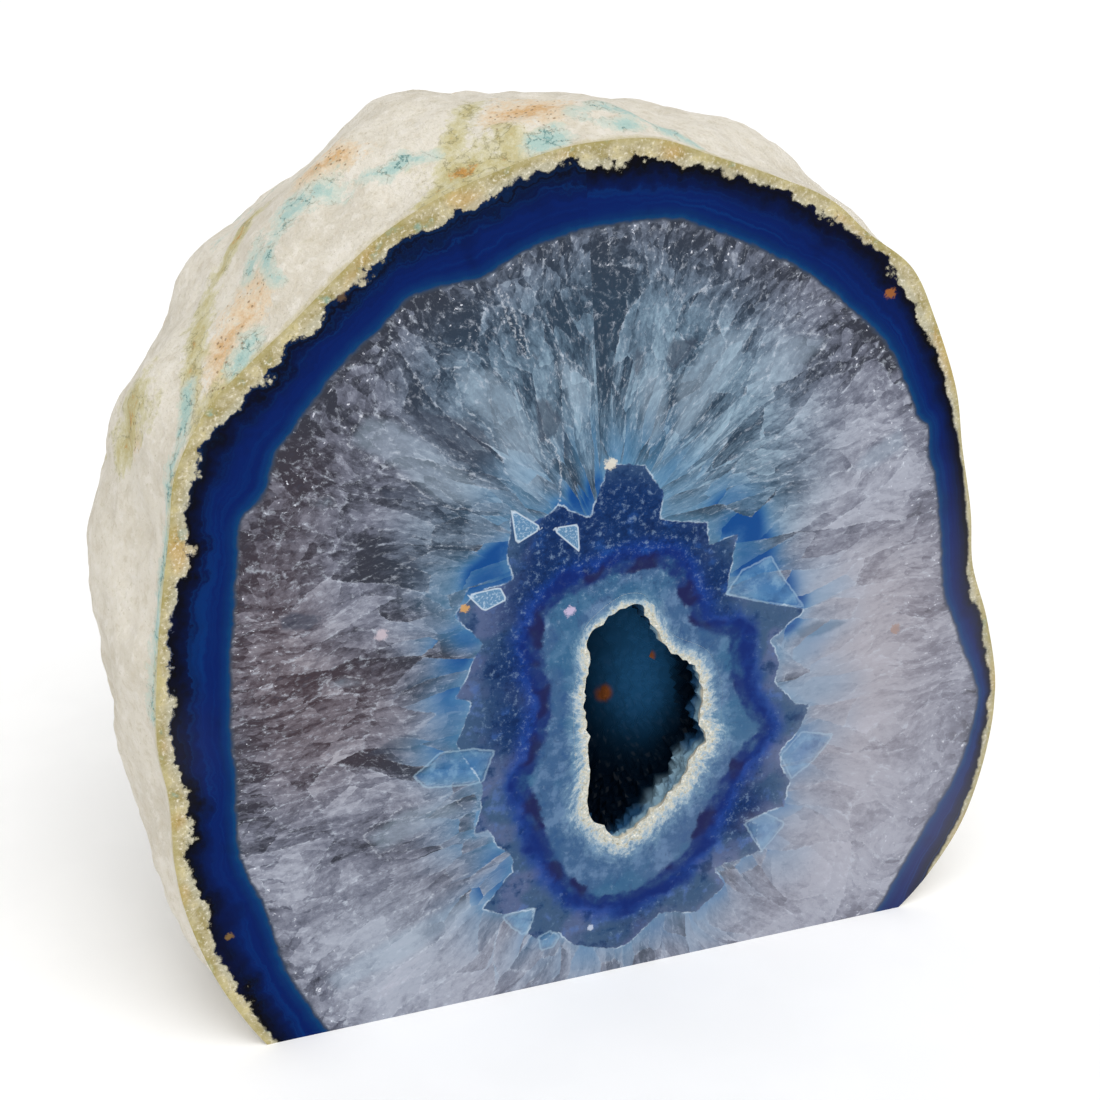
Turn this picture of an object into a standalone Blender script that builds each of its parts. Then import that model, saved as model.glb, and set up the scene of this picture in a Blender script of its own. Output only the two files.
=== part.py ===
# Agate geode: a stone with a sawn and polished face, standing on a sawn base, and the crust of small
# crystals that lines the hollow in its middle.
# Frame: the polished face looks along -Y and +Z is up. The origin lies in the plane of the base, under
# the centre of the stone's box. Outlines are drawn on the sheet of the polished face: x to the right and
# z up, in millimetres, from a point on the face's bottom edge.

import itertools

import bmesh
import bpy
import numpy as np

MM = 0.001

# Stone: its depth behind the face, how square its section is, and how far it swells past the face
BODY_DEPTH = 62 * MM
BODY_POWER = 2.33
BODY_CENTRE = (6 * MM, 50 * MM)
SWELL_ALL_ROUND = 0.8 * MM
SWELL_ONE_SIDE = 3.7 * MM
SWELL_DIRECTION = np.radians(133)
SWELL_SHARE = 0.38
SMOOTH_BACK_WAVES = 6
SMOOTH_BACK_SHARE = 0.45
EVEN_DIRECTIONS = 360
BODY_COLUMNS = 112
BODY_RINGS = 31

# Edge of the polished face, clockwise from the left end of the base. The last six points lie below the
# base, on the part of the stone that the saw took away.
FACE_OUTLINE = [
    (-37, 0), (-42.3, 9.5), (-45.6, 19), (-47, 27), (-47.2, 36), (-48.2, 44), (-47.6, 54), (-46.6, 62),
    (-45.3, 70), (-44.2, 77), (-40.3, 84), (-35.4, 88.6), (-30, 93), (-25, 97.4), (-20, 101.4),
    (-14, 104.6), (-7, 107), (0, 108.8), (6, 109.3), (13, 108.8), (20, 106), (28, 102.6), (35, 99),
    (40, 94.4), (46, 89.4), (49.5, 82.5), (53, 73), (54.4, 65), (56.2, 56), (57, 48.5), (59.6, 40.5),
    (61.5, 31), (61, 22), (58.5, 12.5), (54.5, 5.6), (49.3, 0),
    (41, -6), (27, -11), (8, -13), (-12, -11), (-27, -6.5), (-33, -3.2),
]

# Rind: lumps and dents as (direction in degrees, share of the depth, spread in degrees, spread in
# share, height in millimetres), and ledges whose steep side faces back down the same direction
RIND_LUMPS = [
    (167, 0.38, 11, 0.16, 2.4), (-155, 0.22, 14, 0.16, -1.0), (135, 0.45, 6, 0.16, 0.7),
    (107, 0.42, 6, 0.16, 2.9), (63, 0.30, 6, 0.14, 1.8), (51, 0.15, 4, 0.06, 1.3),
    (35, 0.45, 12, 0.20, 1.6), (8, 0.55, 10, 0.18, -1.4), (-18, 0.40, 9, 0.22, 1.3),
    (150, 0.74, 16, 0.10, 1.5), (60, 0.72, 18, 0.10, -1.6), (100, 0.84, 24, 0.08, 1.5),
]
RIND_LEDGES = [
    (118, 0.55, 20, 0.20, 1.5), (48, 0.35, 16, 0.16, 1.2), (170, 0.62, 18, 0.16, 1.4),
    (15, 0.30, 14, 0.14, 1.0), (75, 0.75, 30, 0.10, 1.5), (205, 0.40, 14, 0.20, 1.2),
]
LEDGE_FRONT = np.radians(1.6)
PIT_COUNT = 30
PIT_SEED = 7
PIT_RADIUS = (2.4 * MM, 4.2 * MM)
PIT_DEPTH = (0.9 * MM, 1.7 * MM)
BROAD_GRAIN = 17 * MM
BROAD_HEIGHT = 1.7 * MM
MIDDLE_GRAIN = 7.5 * MM
MIDDLE_HEIGHT = 1.0 * MM
RELIEF_FADE_SHARE = 0.10

# Hollow: its dark opening on the face, clockwise from the top
HOLLOW_OUTLINE = [
    (9.5, 50.4), (12, 50), (13, 48), (14, 46), (15.4, 43.5), (18.6, 41), (19.5, 37), (19.2, 34), (20.2, 31),
    (18.4, 29), (17.6, 26.5), (15.6, 24.4), (13, 22.2), (10.5, 20), (8.6, 20.4), (6.6, 22.6), (5.3, 24.4),
    (5.5, 27), (5.9, 30), (5.3, 36), (4.8, 39.5), (5.4, 43.5), (5.1, 46), (6.2, 48.3),
]
HOLLOW_CENTRE = (12 * MM, 35 * MM)
HOLLOW_DEPTH = 27 * MM
HOLLOW_WIDENING = 0.36
HOLLOW_ROUNDING = 0.8
SMOOTH_HOLLOW_WAVES = 4

# Crust: from the dark opening out to its own back, thicker at the right and at the bottom
CRUST_THICKNESS = 2.9 * MM
CRUST_EXTRA = 0.8 * MM
CRUST_EXTRA_DIRECTION = np.radians(-40)
CRUST_FLOOR = 2.4 * MM
CRYSTAL_REACH = 0.9 * MM
CRYSTAL_HEIGHT = (1.0 * MM, 2.1 * MM)
CRYSTAL_COLUMNS = 26
CRYSTAL_ROWS = 9
CRYSTAL_SCATTER = 0.22
CRYSTAL_SEED = 11
LAST_ROW_SHARE = 0.9
CRUST_BACK_COLUMNS = 2 * CRYSTAL_COLUMNS

GAP = 0.3 * MM
CUTTER_LEAD = 3 * MM
SHARP_ANGLE = np.radians(40)


def smooth_step(value):
    """Rises smoothly from 0 to 1 while value goes from 0 to 1."""
    value = np.clip(value, 0, 1)
    return value * value * (3 - 2 * value)


def closed_curve(points, steps=16):
    """A smooth closed curve through the points, with a number of steps between neighbours."""
    here = np.array(points, float)
    before, after, later = (np.roll(here, k, axis=0) for k in (1, -1, -2))
    t = np.linspace(0, 1, steps, endpoint=False)[:, None, None]
    curve = 0.5 * (2 * here + (after - before) * t + (2 * before - 5 * here + 4 * after - later) * t ** 2
                   + (3 * here - before - 3 * after + later) * t ** 3)
    return curve.transpose(1, 0, 2).reshape(-1, 2)


def radius_about(outline, centre, angles):
    """The outline's distance in metres from a centre on the sheet, in each of the directions."""
    across = closed_curve(outline) * MM - np.array(centre)
    direction = np.arctan2(across[:, 1], across[:, 0])
    order = np.argsort(direction)
    distance = np.hypot(across[:, 0], across[:, 1])
    return np.interp(angles, direction[order], distance[order], period=2 * np.pi)


def soft_radius_about(outline, centre, angles, waves):
    """The same distance with only the outline's broadest waves left."""
    even = np.linspace(-np.pi, np.pi, EVEN_DIRECTIONS, endpoint=False)
    spectrum = np.fft.rfft(radius_about(outline, centre, even))
    spectrum[waves:] = 0
    return np.interp(angles, even, np.fft.irfft(spectrum, EVEN_DIRECTIONS), period=2 * np.pi)


def value_noise(points, seed):
    """Smooth noise from -1 to 1, from a fixed value at each corner of a lattice of unit cells."""
    cell = np.floor(points).astype(np.int64)
    inside = smooth_step(points - cell)
    total = np.zeros(points.shape[:-1])
    for corner in itertools.product((0, 1), repeat=3):
        at = cell + np.array(corner)
        mixed = (at[..., 0] * 73856093) ^ (at[..., 1] * 19349663) ^ (at[..., 2] * 83492791) ^ (seed * 2654435)
        mixed = (mixed ^ (mixed >> 13)) * 1274126177 & 0x7FFFFFFF
        weight = np.prod(np.where(np.array(corner) == 1, inside, 1 - inside), axis=-1)
        total += weight * (mixed / 0x3FFFFFFF - 1)
    return total


def turn_between(angles, direction):
    """The signed turn from a direction to each of the angles."""
    return (angles - direction + np.pi) % (2 * np.pi) - np.pi


def bare_body(angles, shares):
    """Points and outward directions of the stone before its rind's relief. Each ring is the face's
    outline, smoothed and swollen on its way back and drawn in along a squared-off ellipse."""
    edge = radius_about(FACE_OUTLINE, BODY_CENTRE, angles)
    soft = soft_radius_about(FACE_OUTLINE, BODY_CENTRE, angles, SMOOTH_BACK_WAVES)
    back = shares[:, None]
    drawn_in = (1 - np.minimum(back, 1) ** BODY_POWER) ** (1 / BODY_POWER)
    mix = smooth_step(back / SMOOTH_BACK_SHARE)
    swell = SWELL_ALL_ROUND + SWELL_ONE_SIDE * np.cos(angles - SWELL_DIRECTION)
    swelling = swell * back / SWELL_SHARE * np.exp(1 - back / SWELL_SHARE)
    radius = (edge * (1 - mix) + soft * mix + swelling) * drawn_in
    turned = np.stack([np.cos(angles), np.sin(angles)])
    points = np.stack([BODY_CENTRE[0] + radius * turned[0],
                       BODY_DEPTH * back + 0 * radius,
                       BODY_CENTRE[1] + radius * turned[1]], axis=-1)
    sideways = drawn_in ** (BODY_POWER - 1) / soft
    normals = np.stack([sideways * turned[0],
                        back ** (BODY_POWER - 1) / BODY_DEPTH + 0 * sideways,
                        sideways * turned[1]], axis=-1)
    return points, normals / np.linalg.norm(normals, axis=-1, keepdims=True)


def rind_relief(angles, shares, points):
    """Height of the rind over the bare body: noise in two grains, lumps, ledges and pits."""
    back = shares[:, None]
    height = BROAD_HEIGHT * value_noise(points / BROAD_GRAIN, 3)
    height += MIDDLE_HEIGHT * value_noise(points / MIDDLE_GRAIN, 5)
    for direction, share, spread, spread_share, lump in RIND_LUMPS:
        turn = turn_between(angles, np.radians(direction)) / np.radians(spread)
        height += lump * MM * np.exp(-turn ** 2 - ((back - share) / spread_share) ** 2)
    for direction, share, reach, spread_share, ledge in RIND_LEDGES:
        turn = turn_between(angles, np.radians(direction))
        rise = 1 / (1 + np.exp(-np.clip(turn / LEDGE_FRONT, -30, 30)))
        fall = np.exp(-(turn / np.radians(reach)) ** 2 - ((back - share) / spread_share) ** 2)
        height += ledge * MM * rise * fall
    draw = np.random.default_rng(PIT_SEED)
    where = np.stack([draw.uniform(-0.9, 3.9, PIT_COUNT), draw.uniform(0.12, 0.95, PIT_COUNT)], axis=-1)
    for (turn, share), mix in zip(where, draw.uniform(0, 1, PIT_COUNT)):
        centre = bare_body(np.array([turn]), np.array([share]))[0][0, 0]
        radius = PIT_RADIUS[0] + mix * (PIT_RADIUS[1] - PIT_RADIUS[0])
        depth = PIT_DEPTH[0] + mix * (PIT_DEPTH[1] - PIT_DEPTH[0])
        away = np.linalg.norm(points - centre, axis=-1)
        height -= depth * np.exp(-(away / radius) ** 2 * 2)
    return height * smooth_step(back / RELIEF_FADE_SHARE)


def body_points():
    """Rings of points on the stone's outside, from the face's edge back to a last ring that is a point."""
    angles = np.linspace(-np.pi, np.pi, BODY_COLUMNS, endpoint=False)
    shares = np.sin(np.linspace(0, np.pi / 2, BODY_RINGS + 1)) ** (2 / BODY_POWER)
    points, normals = bare_body(angles, shares)
    return points + normals * rind_relief(angles, shares, points)[..., None]


def hollow_rings(angles, shares, out, floor):
    """Rings of the hollow's wall, moved out by a distance, and with its floor moved back."""
    edge = radius_about(HOLLOW_OUTLINE, HOLLOW_CENTRE, angles)
    soft = soft_radius_about(HOLLOW_OUTLINE, HOLLOW_CENTRE, angles, SMOOTH_HOLLOW_WAVES)
    quarter = shares[:, None] * np.pi / 2
    narrowing = np.cos(quarter) ** HOLLOW_ROUNDING * (1 + HOLLOW_WIDENING * np.sin(2 * quarter))
    mix = smooth_step(2 * shares[:, None])
    radius = (edge * (1 - mix) + soft * mix) * narrowing + out * np.cos(quarter) ** 0.4
    return np.stack([HOLLOW_CENTRE[0] + radius * np.cos(angles),
                     (HOLLOW_DEPTH + floor) * np.sin(quarter) + 0 * radius,
                     HOLLOW_CENTRE[1] + radius * np.sin(angles)], axis=-1)


def crust_back(angles):
    """How far the crust's back lies outside the dark opening, in each direction."""
    return CRUST_THICKNESS + CRUST_EXTRA * np.cos(angles - CRUST_EXTRA_DIRECTION)


def add_rings(mesh, rings):
    """Adds rings of points to a mesh, with a band of four-sided faces between neighbours."""
    rows = [[mesh.verts.new(point) for point in ring] for ring in rings]
    for near, far in itertools.pairwise(rows):
        for k in range(len(near)):
            after = (k + 1) % len(near)
            mesh.faces.new((near[k], near[after], far[after], far[k]))
    return rows


def close_ring(mesh, row, tip):
    """Closes a ring with triangles that meet at a tip."""
    tip = mesh.verts.new(tip)
    for k in range(len(row)):
        mesh.faces.new((row[k], row[(k + 1) % len(row)], tip))


def finish_object(name, mesh, parent, material=None):
    """Turns a bmesh into an object under the parent, faces outward."""
    bmesh.ops.recalc_face_normals(mesh, faces=mesh.faces)
    data = bpy.data.meshes.new(name)
    mesh.to_mesh(data)
    mesh.free()
    if material:
        data.materials.append(material)
    made = bpy.data.objects.new(name, data)
    made.parent = parent
    bpy.context.scene.collection.objects.link(made)
    return made


def plain_material(name, colour, roughness):
    """A material with one colour, given as linear red, green and blue, and no metal in it."""
    material = bpy.data.materials.new(name)
    material.use_nodes = True
    shader = material.node_tree.nodes["Principled BSDF"]
    shader.inputs["Base Color"].default_value = (*colour, 1)
    shader.inputs["Roughness"].default_value = roughness
    shader.inputs["Metallic"].default_value = 0
    return material


def agate_material():
    """Blue-dyed agate and grey quartz, polished."""
    return plain_material("dyed agate", (0.12, 0.16, 0.27), 0.18)


def druse_material():
    """Small quartz crystals with a cream stain."""
    return plain_material("cream druse", (0.52, 0.47, 0.36), 0.35)


def make_body(parent):
    """The stone as it was sawn: lofted rings, closed in front by the flat face and cut off at the base."""
    mesh = bmesh.new()
    rings = body_points()
    rows = add_rings(mesh, rings[:-1])
    mesh.faces.new(rows[0])
    close_ring(mesh, rows[-1], rings[-1].mean(axis=0))
    everything = mesh.verts[:] + mesh.edges[:] + mesh.faces[:]
    cut = bmesh.ops.bisect_plane(mesh, geom=everything, plane_co=(0, 0, 0), plane_no=(0, 0, 1), clear_inner=True)
    rim = [piece for piece in cut["geom_cut"] if isinstance(piece, bmesh.types.BMEdge)]
    bmesh.ops.edgeloop_fill(mesh, edges=rim)
    stone = finish_object("stone", mesh, parent, agate_material())
    stone.data.shade_smooth()
    stone.data.set_sharp_from_angle(angle=SHARP_ANGLE)
    return stone


def make_pocket_cutter(parent):
    """The space that the crust takes in the stone, with the gap round it, open in front of the face."""
    angles = np.linspace(-np.pi, np.pi, CRUST_BACK_COLUMNS, endpoint=False)
    shares = np.linspace(0, 1, CRYSTAL_ROWS + 1)[:-1]
    rings = hollow_rings(angles, shares, crust_back(angles) + GAP, CRUST_FLOOR + GAP)
    lead = rings[:1] - np.array([0, CUTTER_LEAD, 0])
    mesh = bmesh.new()
    rows = add_rings(mesh, np.concatenate([lead, rings]))
    mesh.faces.new(rows[0])
    close_ring(mesh, rows[-1], (HOLLOW_CENTRE[0], HOLLOW_DEPTH + CRUST_FLOOR + GAP, HOLLOW_CENTRE[1]))
    cutter = finish_object("pocket_cutter", mesh, parent)
    cutter.hide_render = True
    cutter.display_type = "WIRE"
    return cutter


def make_stone(parent):
    """The sawn stone with the pocket of its hollow cut out."""
    stone = make_body(parent)
    pocket = stone.modifiers.new("pocket", "BOOLEAN")
    pocket.operation = "DIFFERENCE"
    pocket.solver = "EXACT"
    pocket.object = make_pocket_cutter(parent)


def crystal_points(draw):
    """Corners of the crystals' feet on the hollow's wall, scattered off an even grid, the first row
    in the plane of the face."""
    angles = np.linspace(-np.pi, np.pi, CRYSTAL_COLUMNS, endpoint=False)
    shares = np.linspace(0, LAST_ROW_SHARE, CRYSTAL_ROWS)
    turn_step = 2 * np.pi / CRYSTAL_COLUMNS
    rows = []
    for row, share in enumerate(shares):
        turned = angles + draw.uniform(-1, 1, CRYSTAL_COLUMNS) * turn_step * CRYSTAL_SCATTER
        moved = draw.uniform(-1, 1, CRYSTAL_COLUMNS) * shares[1] * CRYSTAL_SCATTER * (row > 0)
        grid = hollow_rings(turned, share + moved, CRYSTAL_REACH, 0)
        rows.append(grid[np.arange(CRYSTAL_COLUMNS), np.arange(CRYSTAL_COLUMNS)])
    return np.array(rows)


def add_crystals(mesh, rows, draw):
    """Raises a four-sided point over every cell of the grid, towards the middle of the hollow."""
    for near, far in itertools.pairwise(rows):
        for k in range(len(near)):
            after = (k + 1) % len(near)
            foot = [near[k], near[after], far[after], far[k]]
            corners = np.array([vertex.co for vertex in foot])
            normal = np.cross(corners[2] - corners[0], corners[3] - corners[1])
            normal /= np.linalg.norm(normal)
            middle = corners.mean(axis=0)
            inward = np.array([HOLLOW_CENTRE[0], HOLLOW_DEPTH / 3, HOLLOW_CENTRE[1]]) - middle
            if normal @ inward < 0:
                normal = -normal
            tip = mesh.verts.new(middle + normal * draw.uniform(*CRYSTAL_HEIGHT))
            for corner in range(4):
                mesh.faces.new((foot[corner], foot[(corner + 1) % 4], tip))


def add_rim(mesh, inner, outer):
    """Joins an inner ring to an outer ring that has two points for each of its own."""
    for k in range(len(inner)):
        start, after = inner[k], inner[(k + 1) % len(inner)]
        first, middle, last = outer[2 * k], outer[2 * k + 1], outer[(2 * k + 2) % len(outer)]
        mesh.faces.new((start, first, middle))
        mesh.faces.new((start, middle, after))
        mesh.faces.new((after, middle, last))


def make_crust(parent):
    """The crust as one closed shell: crystals inside, a smooth back in the pocket, and a rim that
    lies in the plane of the polished face."""
    draw = np.random.default_rng(CRYSTAL_SEED)
    mesh = bmesh.new()
    inner = [[mesh.verts.new(point) for point in ring] for ring in crystal_points(draw)]
    add_crystals(mesh, inner, draw)
    close_ring(mesh, inner[-1], (HOLLOW_CENTRE[0], HOLLOW_DEPTH - CRYSTAL_HEIGHT[0], HOLLOW_CENTRE[1]))
    angles = np.linspace(-np.pi, np.pi, CRUST_BACK_COLUMNS, endpoint=False)
    shares = np.linspace(0, 1, CRYSTAL_ROWS + 1)[:-1]
    outer = add_rings(mesh, hollow_rings(angles, shares, crust_back(angles), CRUST_FLOOR))
    close_ring(mesh, outer[-1], (HOLLOW_CENTRE[0], HOLLOW_DEPTH + CRUST_FLOOR, HOLLOW_CENTRE[1]))
    add_rim(mesh, inner[0], outer[0])
    finish_object("druse_crust", mesh, parent, druse_material())


def make_origin():
    """An empty that carries the sheet's frame: it moves the middle of the stone's box to the origin."""
    points = body_points().reshape(-1, 3)
    standing = points[points[:, 2] >= 0]
    middle = (standing.min(axis=0) + standing.max(axis=0)) / 2
    origin = bpy.data.objects.new("geode", None)
    origin.location = (-middle[0], -middle[1], 0)
    bpy.context.scene.collection.objects.link(origin)
    return origin


def main():
    for old in list(bpy.data.objects):
        bpy.data.objects.remove(old)
    origin = make_origin()
    make_stone(origin)
    make_crust(origin)


main()
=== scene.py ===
"""Looks of a blue-dyed agate geode: a polished sawn face, a chalky rind and a crystal-lined hollow.

Outlines are drawn on the sheet of the polished face, in millimetres: x to the right and z up, from a
point on the face's bottom edge, with y going back into the stone. Everything is moved from the sheet to
the frame's own origin at the end.
"""
import functools
import itertools
import math

import bmesh
import bpy
import numpy as np
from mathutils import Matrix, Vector


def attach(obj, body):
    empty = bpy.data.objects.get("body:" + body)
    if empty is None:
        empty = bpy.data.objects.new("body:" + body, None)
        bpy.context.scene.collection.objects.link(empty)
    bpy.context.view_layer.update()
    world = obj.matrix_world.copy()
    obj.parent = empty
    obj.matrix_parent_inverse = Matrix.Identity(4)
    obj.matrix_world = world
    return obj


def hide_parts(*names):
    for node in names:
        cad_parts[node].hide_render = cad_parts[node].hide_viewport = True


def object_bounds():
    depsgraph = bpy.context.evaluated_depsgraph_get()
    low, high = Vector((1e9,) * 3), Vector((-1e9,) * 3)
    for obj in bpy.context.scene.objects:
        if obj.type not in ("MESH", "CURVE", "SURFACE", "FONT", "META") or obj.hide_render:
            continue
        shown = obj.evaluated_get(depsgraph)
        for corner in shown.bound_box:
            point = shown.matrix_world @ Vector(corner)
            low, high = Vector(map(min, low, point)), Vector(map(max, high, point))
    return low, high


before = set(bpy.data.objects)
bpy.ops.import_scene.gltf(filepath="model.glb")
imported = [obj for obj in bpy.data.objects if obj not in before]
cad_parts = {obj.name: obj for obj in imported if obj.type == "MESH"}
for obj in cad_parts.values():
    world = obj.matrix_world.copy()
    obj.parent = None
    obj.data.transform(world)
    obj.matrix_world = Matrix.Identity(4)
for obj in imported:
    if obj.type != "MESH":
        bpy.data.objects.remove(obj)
CAD_BOX = [list(map(float, corner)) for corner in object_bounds()]

bl_info = {
    "name": "Agate geode",
    "version": (1, 0, 0),
    "blender": (4, 5, 0),
    "location": "3D View > Sidebar > Geode",
    "description": "Models the polished stone and the druse of an agate geode, and a studio for it",
    "category": "Add Mesh",
}

MM = 0.001

# The stone's shape, the same as in its solids
BODY_DEPTH = 62
BODY_POWER = 2.33
BODY_CENTRE = (6, 50)
SWELL_ALL_ROUND = 0.8
SWELL_ONE_SIDE = 3.7
SWELL_DIRECTION = np.radians(133)
SWELL_SHARE = 0.38
SMOOTH_BACK_WAVES = 6
SMOOTH_BACK_SHARE = 0.45
EVEN_DIRECTIONS = 360
CAD_COLUMNS = 112
CAD_RINGS = 31
FACE_OUTLINE = [
    (-37, 0), (-42.3, 9.5), (-45.6, 19), (-47, 27), (-47.2, 36), (-48.2, 44), (-47.6, 54), (-46.6, 62),
    (-45.3, 70), (-44.2, 77), (-40.3, 84), (-35.4, 88.6), (-30, 93), (-25, 97.4), (-20, 101.4),
    (-14, 104.6), (-7, 107), (0, 108.8), (6, 109.3), (13, 108.8), (20, 106), (28, 102.6), (35, 99),
    (40, 94.4), (46, 89.4), (49.5, 82.5), (53, 73), (54.4, 65), (56.2, 56), (57, 48.5), (59.6, 40.5),
    (61.5, 31), (61, 22), (58.5, 12.5), (54.5, 5.6), (49.3, 0),
    (41, -6), (27, -11), (8, -13), (-12, -11), (-27, -6.5), (-33, -3.2),
]
RIND_LUMPS = [
    (167, 0.38, 11, 0.16, 2.4), (-155, 0.22, 14, 0.16, -1.0), (135, 0.45, 6, 0.16, 0.7),
    (107, 0.42, 6, 0.16, 2.9), (63, 0.30, 6, 0.14, 1.8), (51, 0.15, 4, 0.06, 1.3),
    (35, 0.45, 12, 0.20, 1.6), (8, 0.55, 10, 0.18, -1.4), (-18, 0.40, 9, 0.22, 1.3),
    (150, 0.74, 16, 0.10, 1.5), (60, 0.72, 18, 0.10, -1.6), (100, 0.84, 24, 0.08, 1.5),
]
RIND_LEDGES = [
    (118, 0.55, 20, 0.20, 1.5), (48, 0.35, 16, 0.16, 1.2), (170, 0.62, 18, 0.16, 1.4),
    (15, 0.30, 14, 0.14, 1.0), (75, 0.75, 30, 0.10, 1.5), (205, 0.40, 14, 0.20, 1.2),
]
LEDGE_FRONT = np.radians(1.6)
PIT_COUNT = 30
PIT_SEED = 7
PIT_RADIUS = (2.4, 4.2)
PIT_DEPTH = (0.9, 1.7)
BROAD_GRAIN = 17
BROAD_HEIGHT = 1.7
MIDDLE_GRAIN = 7.5
MIDDLE_HEIGHT = 1.0
RELIEF_FADE_SHARE = 0.10

# The rind's fine grain, which the solids don't have
FINE_GRAINS = (2.9, 1.5)
FINE_SECOND_SHARE = 0.55
FINE_FADE_SHARE = 0.03
FINE_PIT_COUNT = 150
FINE_PIT_SEED = 23
FINE_PIT_RADIUS = (0.7, 1.7)
FINE_PIT_DEPTH = (0.2, 0.6)

# Where pits may lie: the turn round the stone, which leaves out its base, and the share of its depth
PIT_TURNS = (-0.9, 3.9)
PIT_SHARES = (0.12, 0.95)

# The hollow and its crust
HOLLOW_OUTLINE = [
    (9.5, 50.4), (12, 50), (13, 48), (14, 46), (15.4, 43.5), (18.6, 41), (19.5, 37), (19.2, 34), (20.2, 31),
    (18.4, 29), (17.6, 26.5), (15.6, 24.4), (13, 22.2), (10.5, 20), (8.6, 20.4), (6.6, 22.6), (5.3, 24.4),
    (5.5, 27), (5.9, 30), (5.3, 36), (4.8, 39.5), (5.4, 43.5), (5.1, 46), (6.2, 48.3),
]
HOLLOW_CENTRE = (12, 35)
HOLLOW_DEPTH = 27
HOLLOW_WIDENING = 0.36
HOLLOW_ROUNDING = 0.8
BACK_ROUNDING = 0.4
SMOOTH_HOLLOW_WAVES = 4
CRUST_THICKNESS = 2.9
CRUST_EXTRA = 0.8
CRUST_EXTRA_DIRECTION = np.radians(-40)
CRUST_FLOOR = 2.4
CRYSTAL_REACH = 0.9

# The druse's quartz points: how wide their feet are as a share of their spacing, how far off their part
# of the wall they reach and how steeply they end there, and how low they stay near the rim
POINT_SEED = 19
POINT_FEET = (0.75, 1.15)
POINT_REACH = 2.5
POINT_FALL = 4
RIM_POINT_SHARE = 0.45
RIM_POINT_DEPTH_SHARE = 1 / 8

# Lines that the saw shows on the face. Those that run off the base are closed below it.
RIND_INNER_LINE = [
    (-36.5, 2), (-39, 8), (-42, 13), (-43, 20), (-45, 25), (-45, 30), (-44.5, 36), (-46.5, 43), (-46, 50),
    (-45.5, 57), (-45, 62), (-42.8, 67), (-43.5, 72), (-40.3, 80), (-36.5, 84), (-32.5, 87.2), (-28.6, 91.2),
    (-22, 97), (-18.5, 99.5), (-13, 101.5), (-5, 105.5), (0, 107), (9, 106.2), (18, 105), (27.5, 101),
    (37, 95), (42, 90.5), (46, 85.5), (50.7, 76), (54, 65), (55.9, 54), (56.5, 46), (59.8, 36),
    (60.6, 30), (60.4, 24), (58.2, 14), (53.7, 5.2), (44, -9), (0, -14), (-30, -8),
]
BAND_INNER_LINE = [
    (-28.8, 0), (-31.5, 5), (-34, 10), (-36.5, 20), (-38.5, 25), (-39.2, 30), (-39, 38), (-39.3, 43),
    (-39, 50), (-38.5, 57), (-37.5, 65), (-37, 70), (-34, 73), (-32.8, 77), (-30.5, 80), (-26.5, 85),
    (-24, 87.5), (-19.5, 91), (-17, 93.5), (-13, 94.5), (-8, 95), (-5, 96.5), (-1, 98), (4, 99),
    (10, 99.3), (15, 99), (19, 97.5), (26, 94), (32.5, 90), (36.5, 86.5), (43, 80), (46.5, 73),
    (47.7, 70), (49.3, 68.5), (49.5, 65), (51, 60), (52.3, 50), (53, 45), (55, 40), (57.8, 33),
    (58.8, 29), (57.5, 22), (56, 18), (52.5, 12), (48.5, 5), (45.5, 0), (36, -9), (5, -14), (-20, -9),
]
CRYSTAL_FRONT = [
    (7, 70.5), (9, 69.8), (12, 69.3), (13.3, 67), (14.5, 65.5), (14, 62), (17, 61.2), (20.3, 60.5),
    (20.5, 57.5), (24.3, 58.3), (23.3, 53), (23, 50.5), (29.5, 48), (34, 46.5), (31, 44.5), (29.2, 43),
    (30.5, 40), (30, 37), (33, 33.5), (35, 33), (33.5, 29.5), (31, 27), (31.3, 25), (32.5, 22.5),
    (32, 19), (26.5, 18), (28.5, 17), (28, 15), (29, 13), (22.5, 12), (24, 9), (20, 6), (15, 7),
    (11, 3.5), (9, 3), (3, 5), (1, 7.5), (-1, 6.5), (-3, 8), (-2, 11.5), (-6, 11.5), (-9, 13),
    (-5, 17.5), (-5, 20), (-7, 21.5), (-8, 24), (-10, 24), (-9, 27), (-8.7, 30.5), (-12, 36.5),
    (-10, 42), (-12, 43), (-10.5, 45.5), (-9.5, 48), (-8.4, 49.5), (-11, 52.5), (-12, 54), (-9, 56.5),
    (-4.5, 57), (-5.5, 60.5), (-5, 63), (-4.8, 66), (-2, 64.3), (0, 65), (1, 66), (5, 63.5), (7, 69),
]
RING_LINE = [
    (3, 55.5), (8, 56.8), (14, 57), (17, 54.5), (19, 50), (20.5, 47), (24.5, 45.5), (25, 42),
    (25.8, 38), (27, 34.5), (29, 31), (26.5, 27.5), (24, 24), (22, 20), (20, 15.5), (17, 12.5),
    (13, 10.5), (9, 9.8), (5, 11), (2, 14), (0, 17.5), (-1.5, 21), (-3, 26), (-4, 29.5), (-2.5, 33),
    (-1.5, 37), (-1, 41), (-2, 45), (-2.5, 49), (-1, 53),
]

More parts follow.
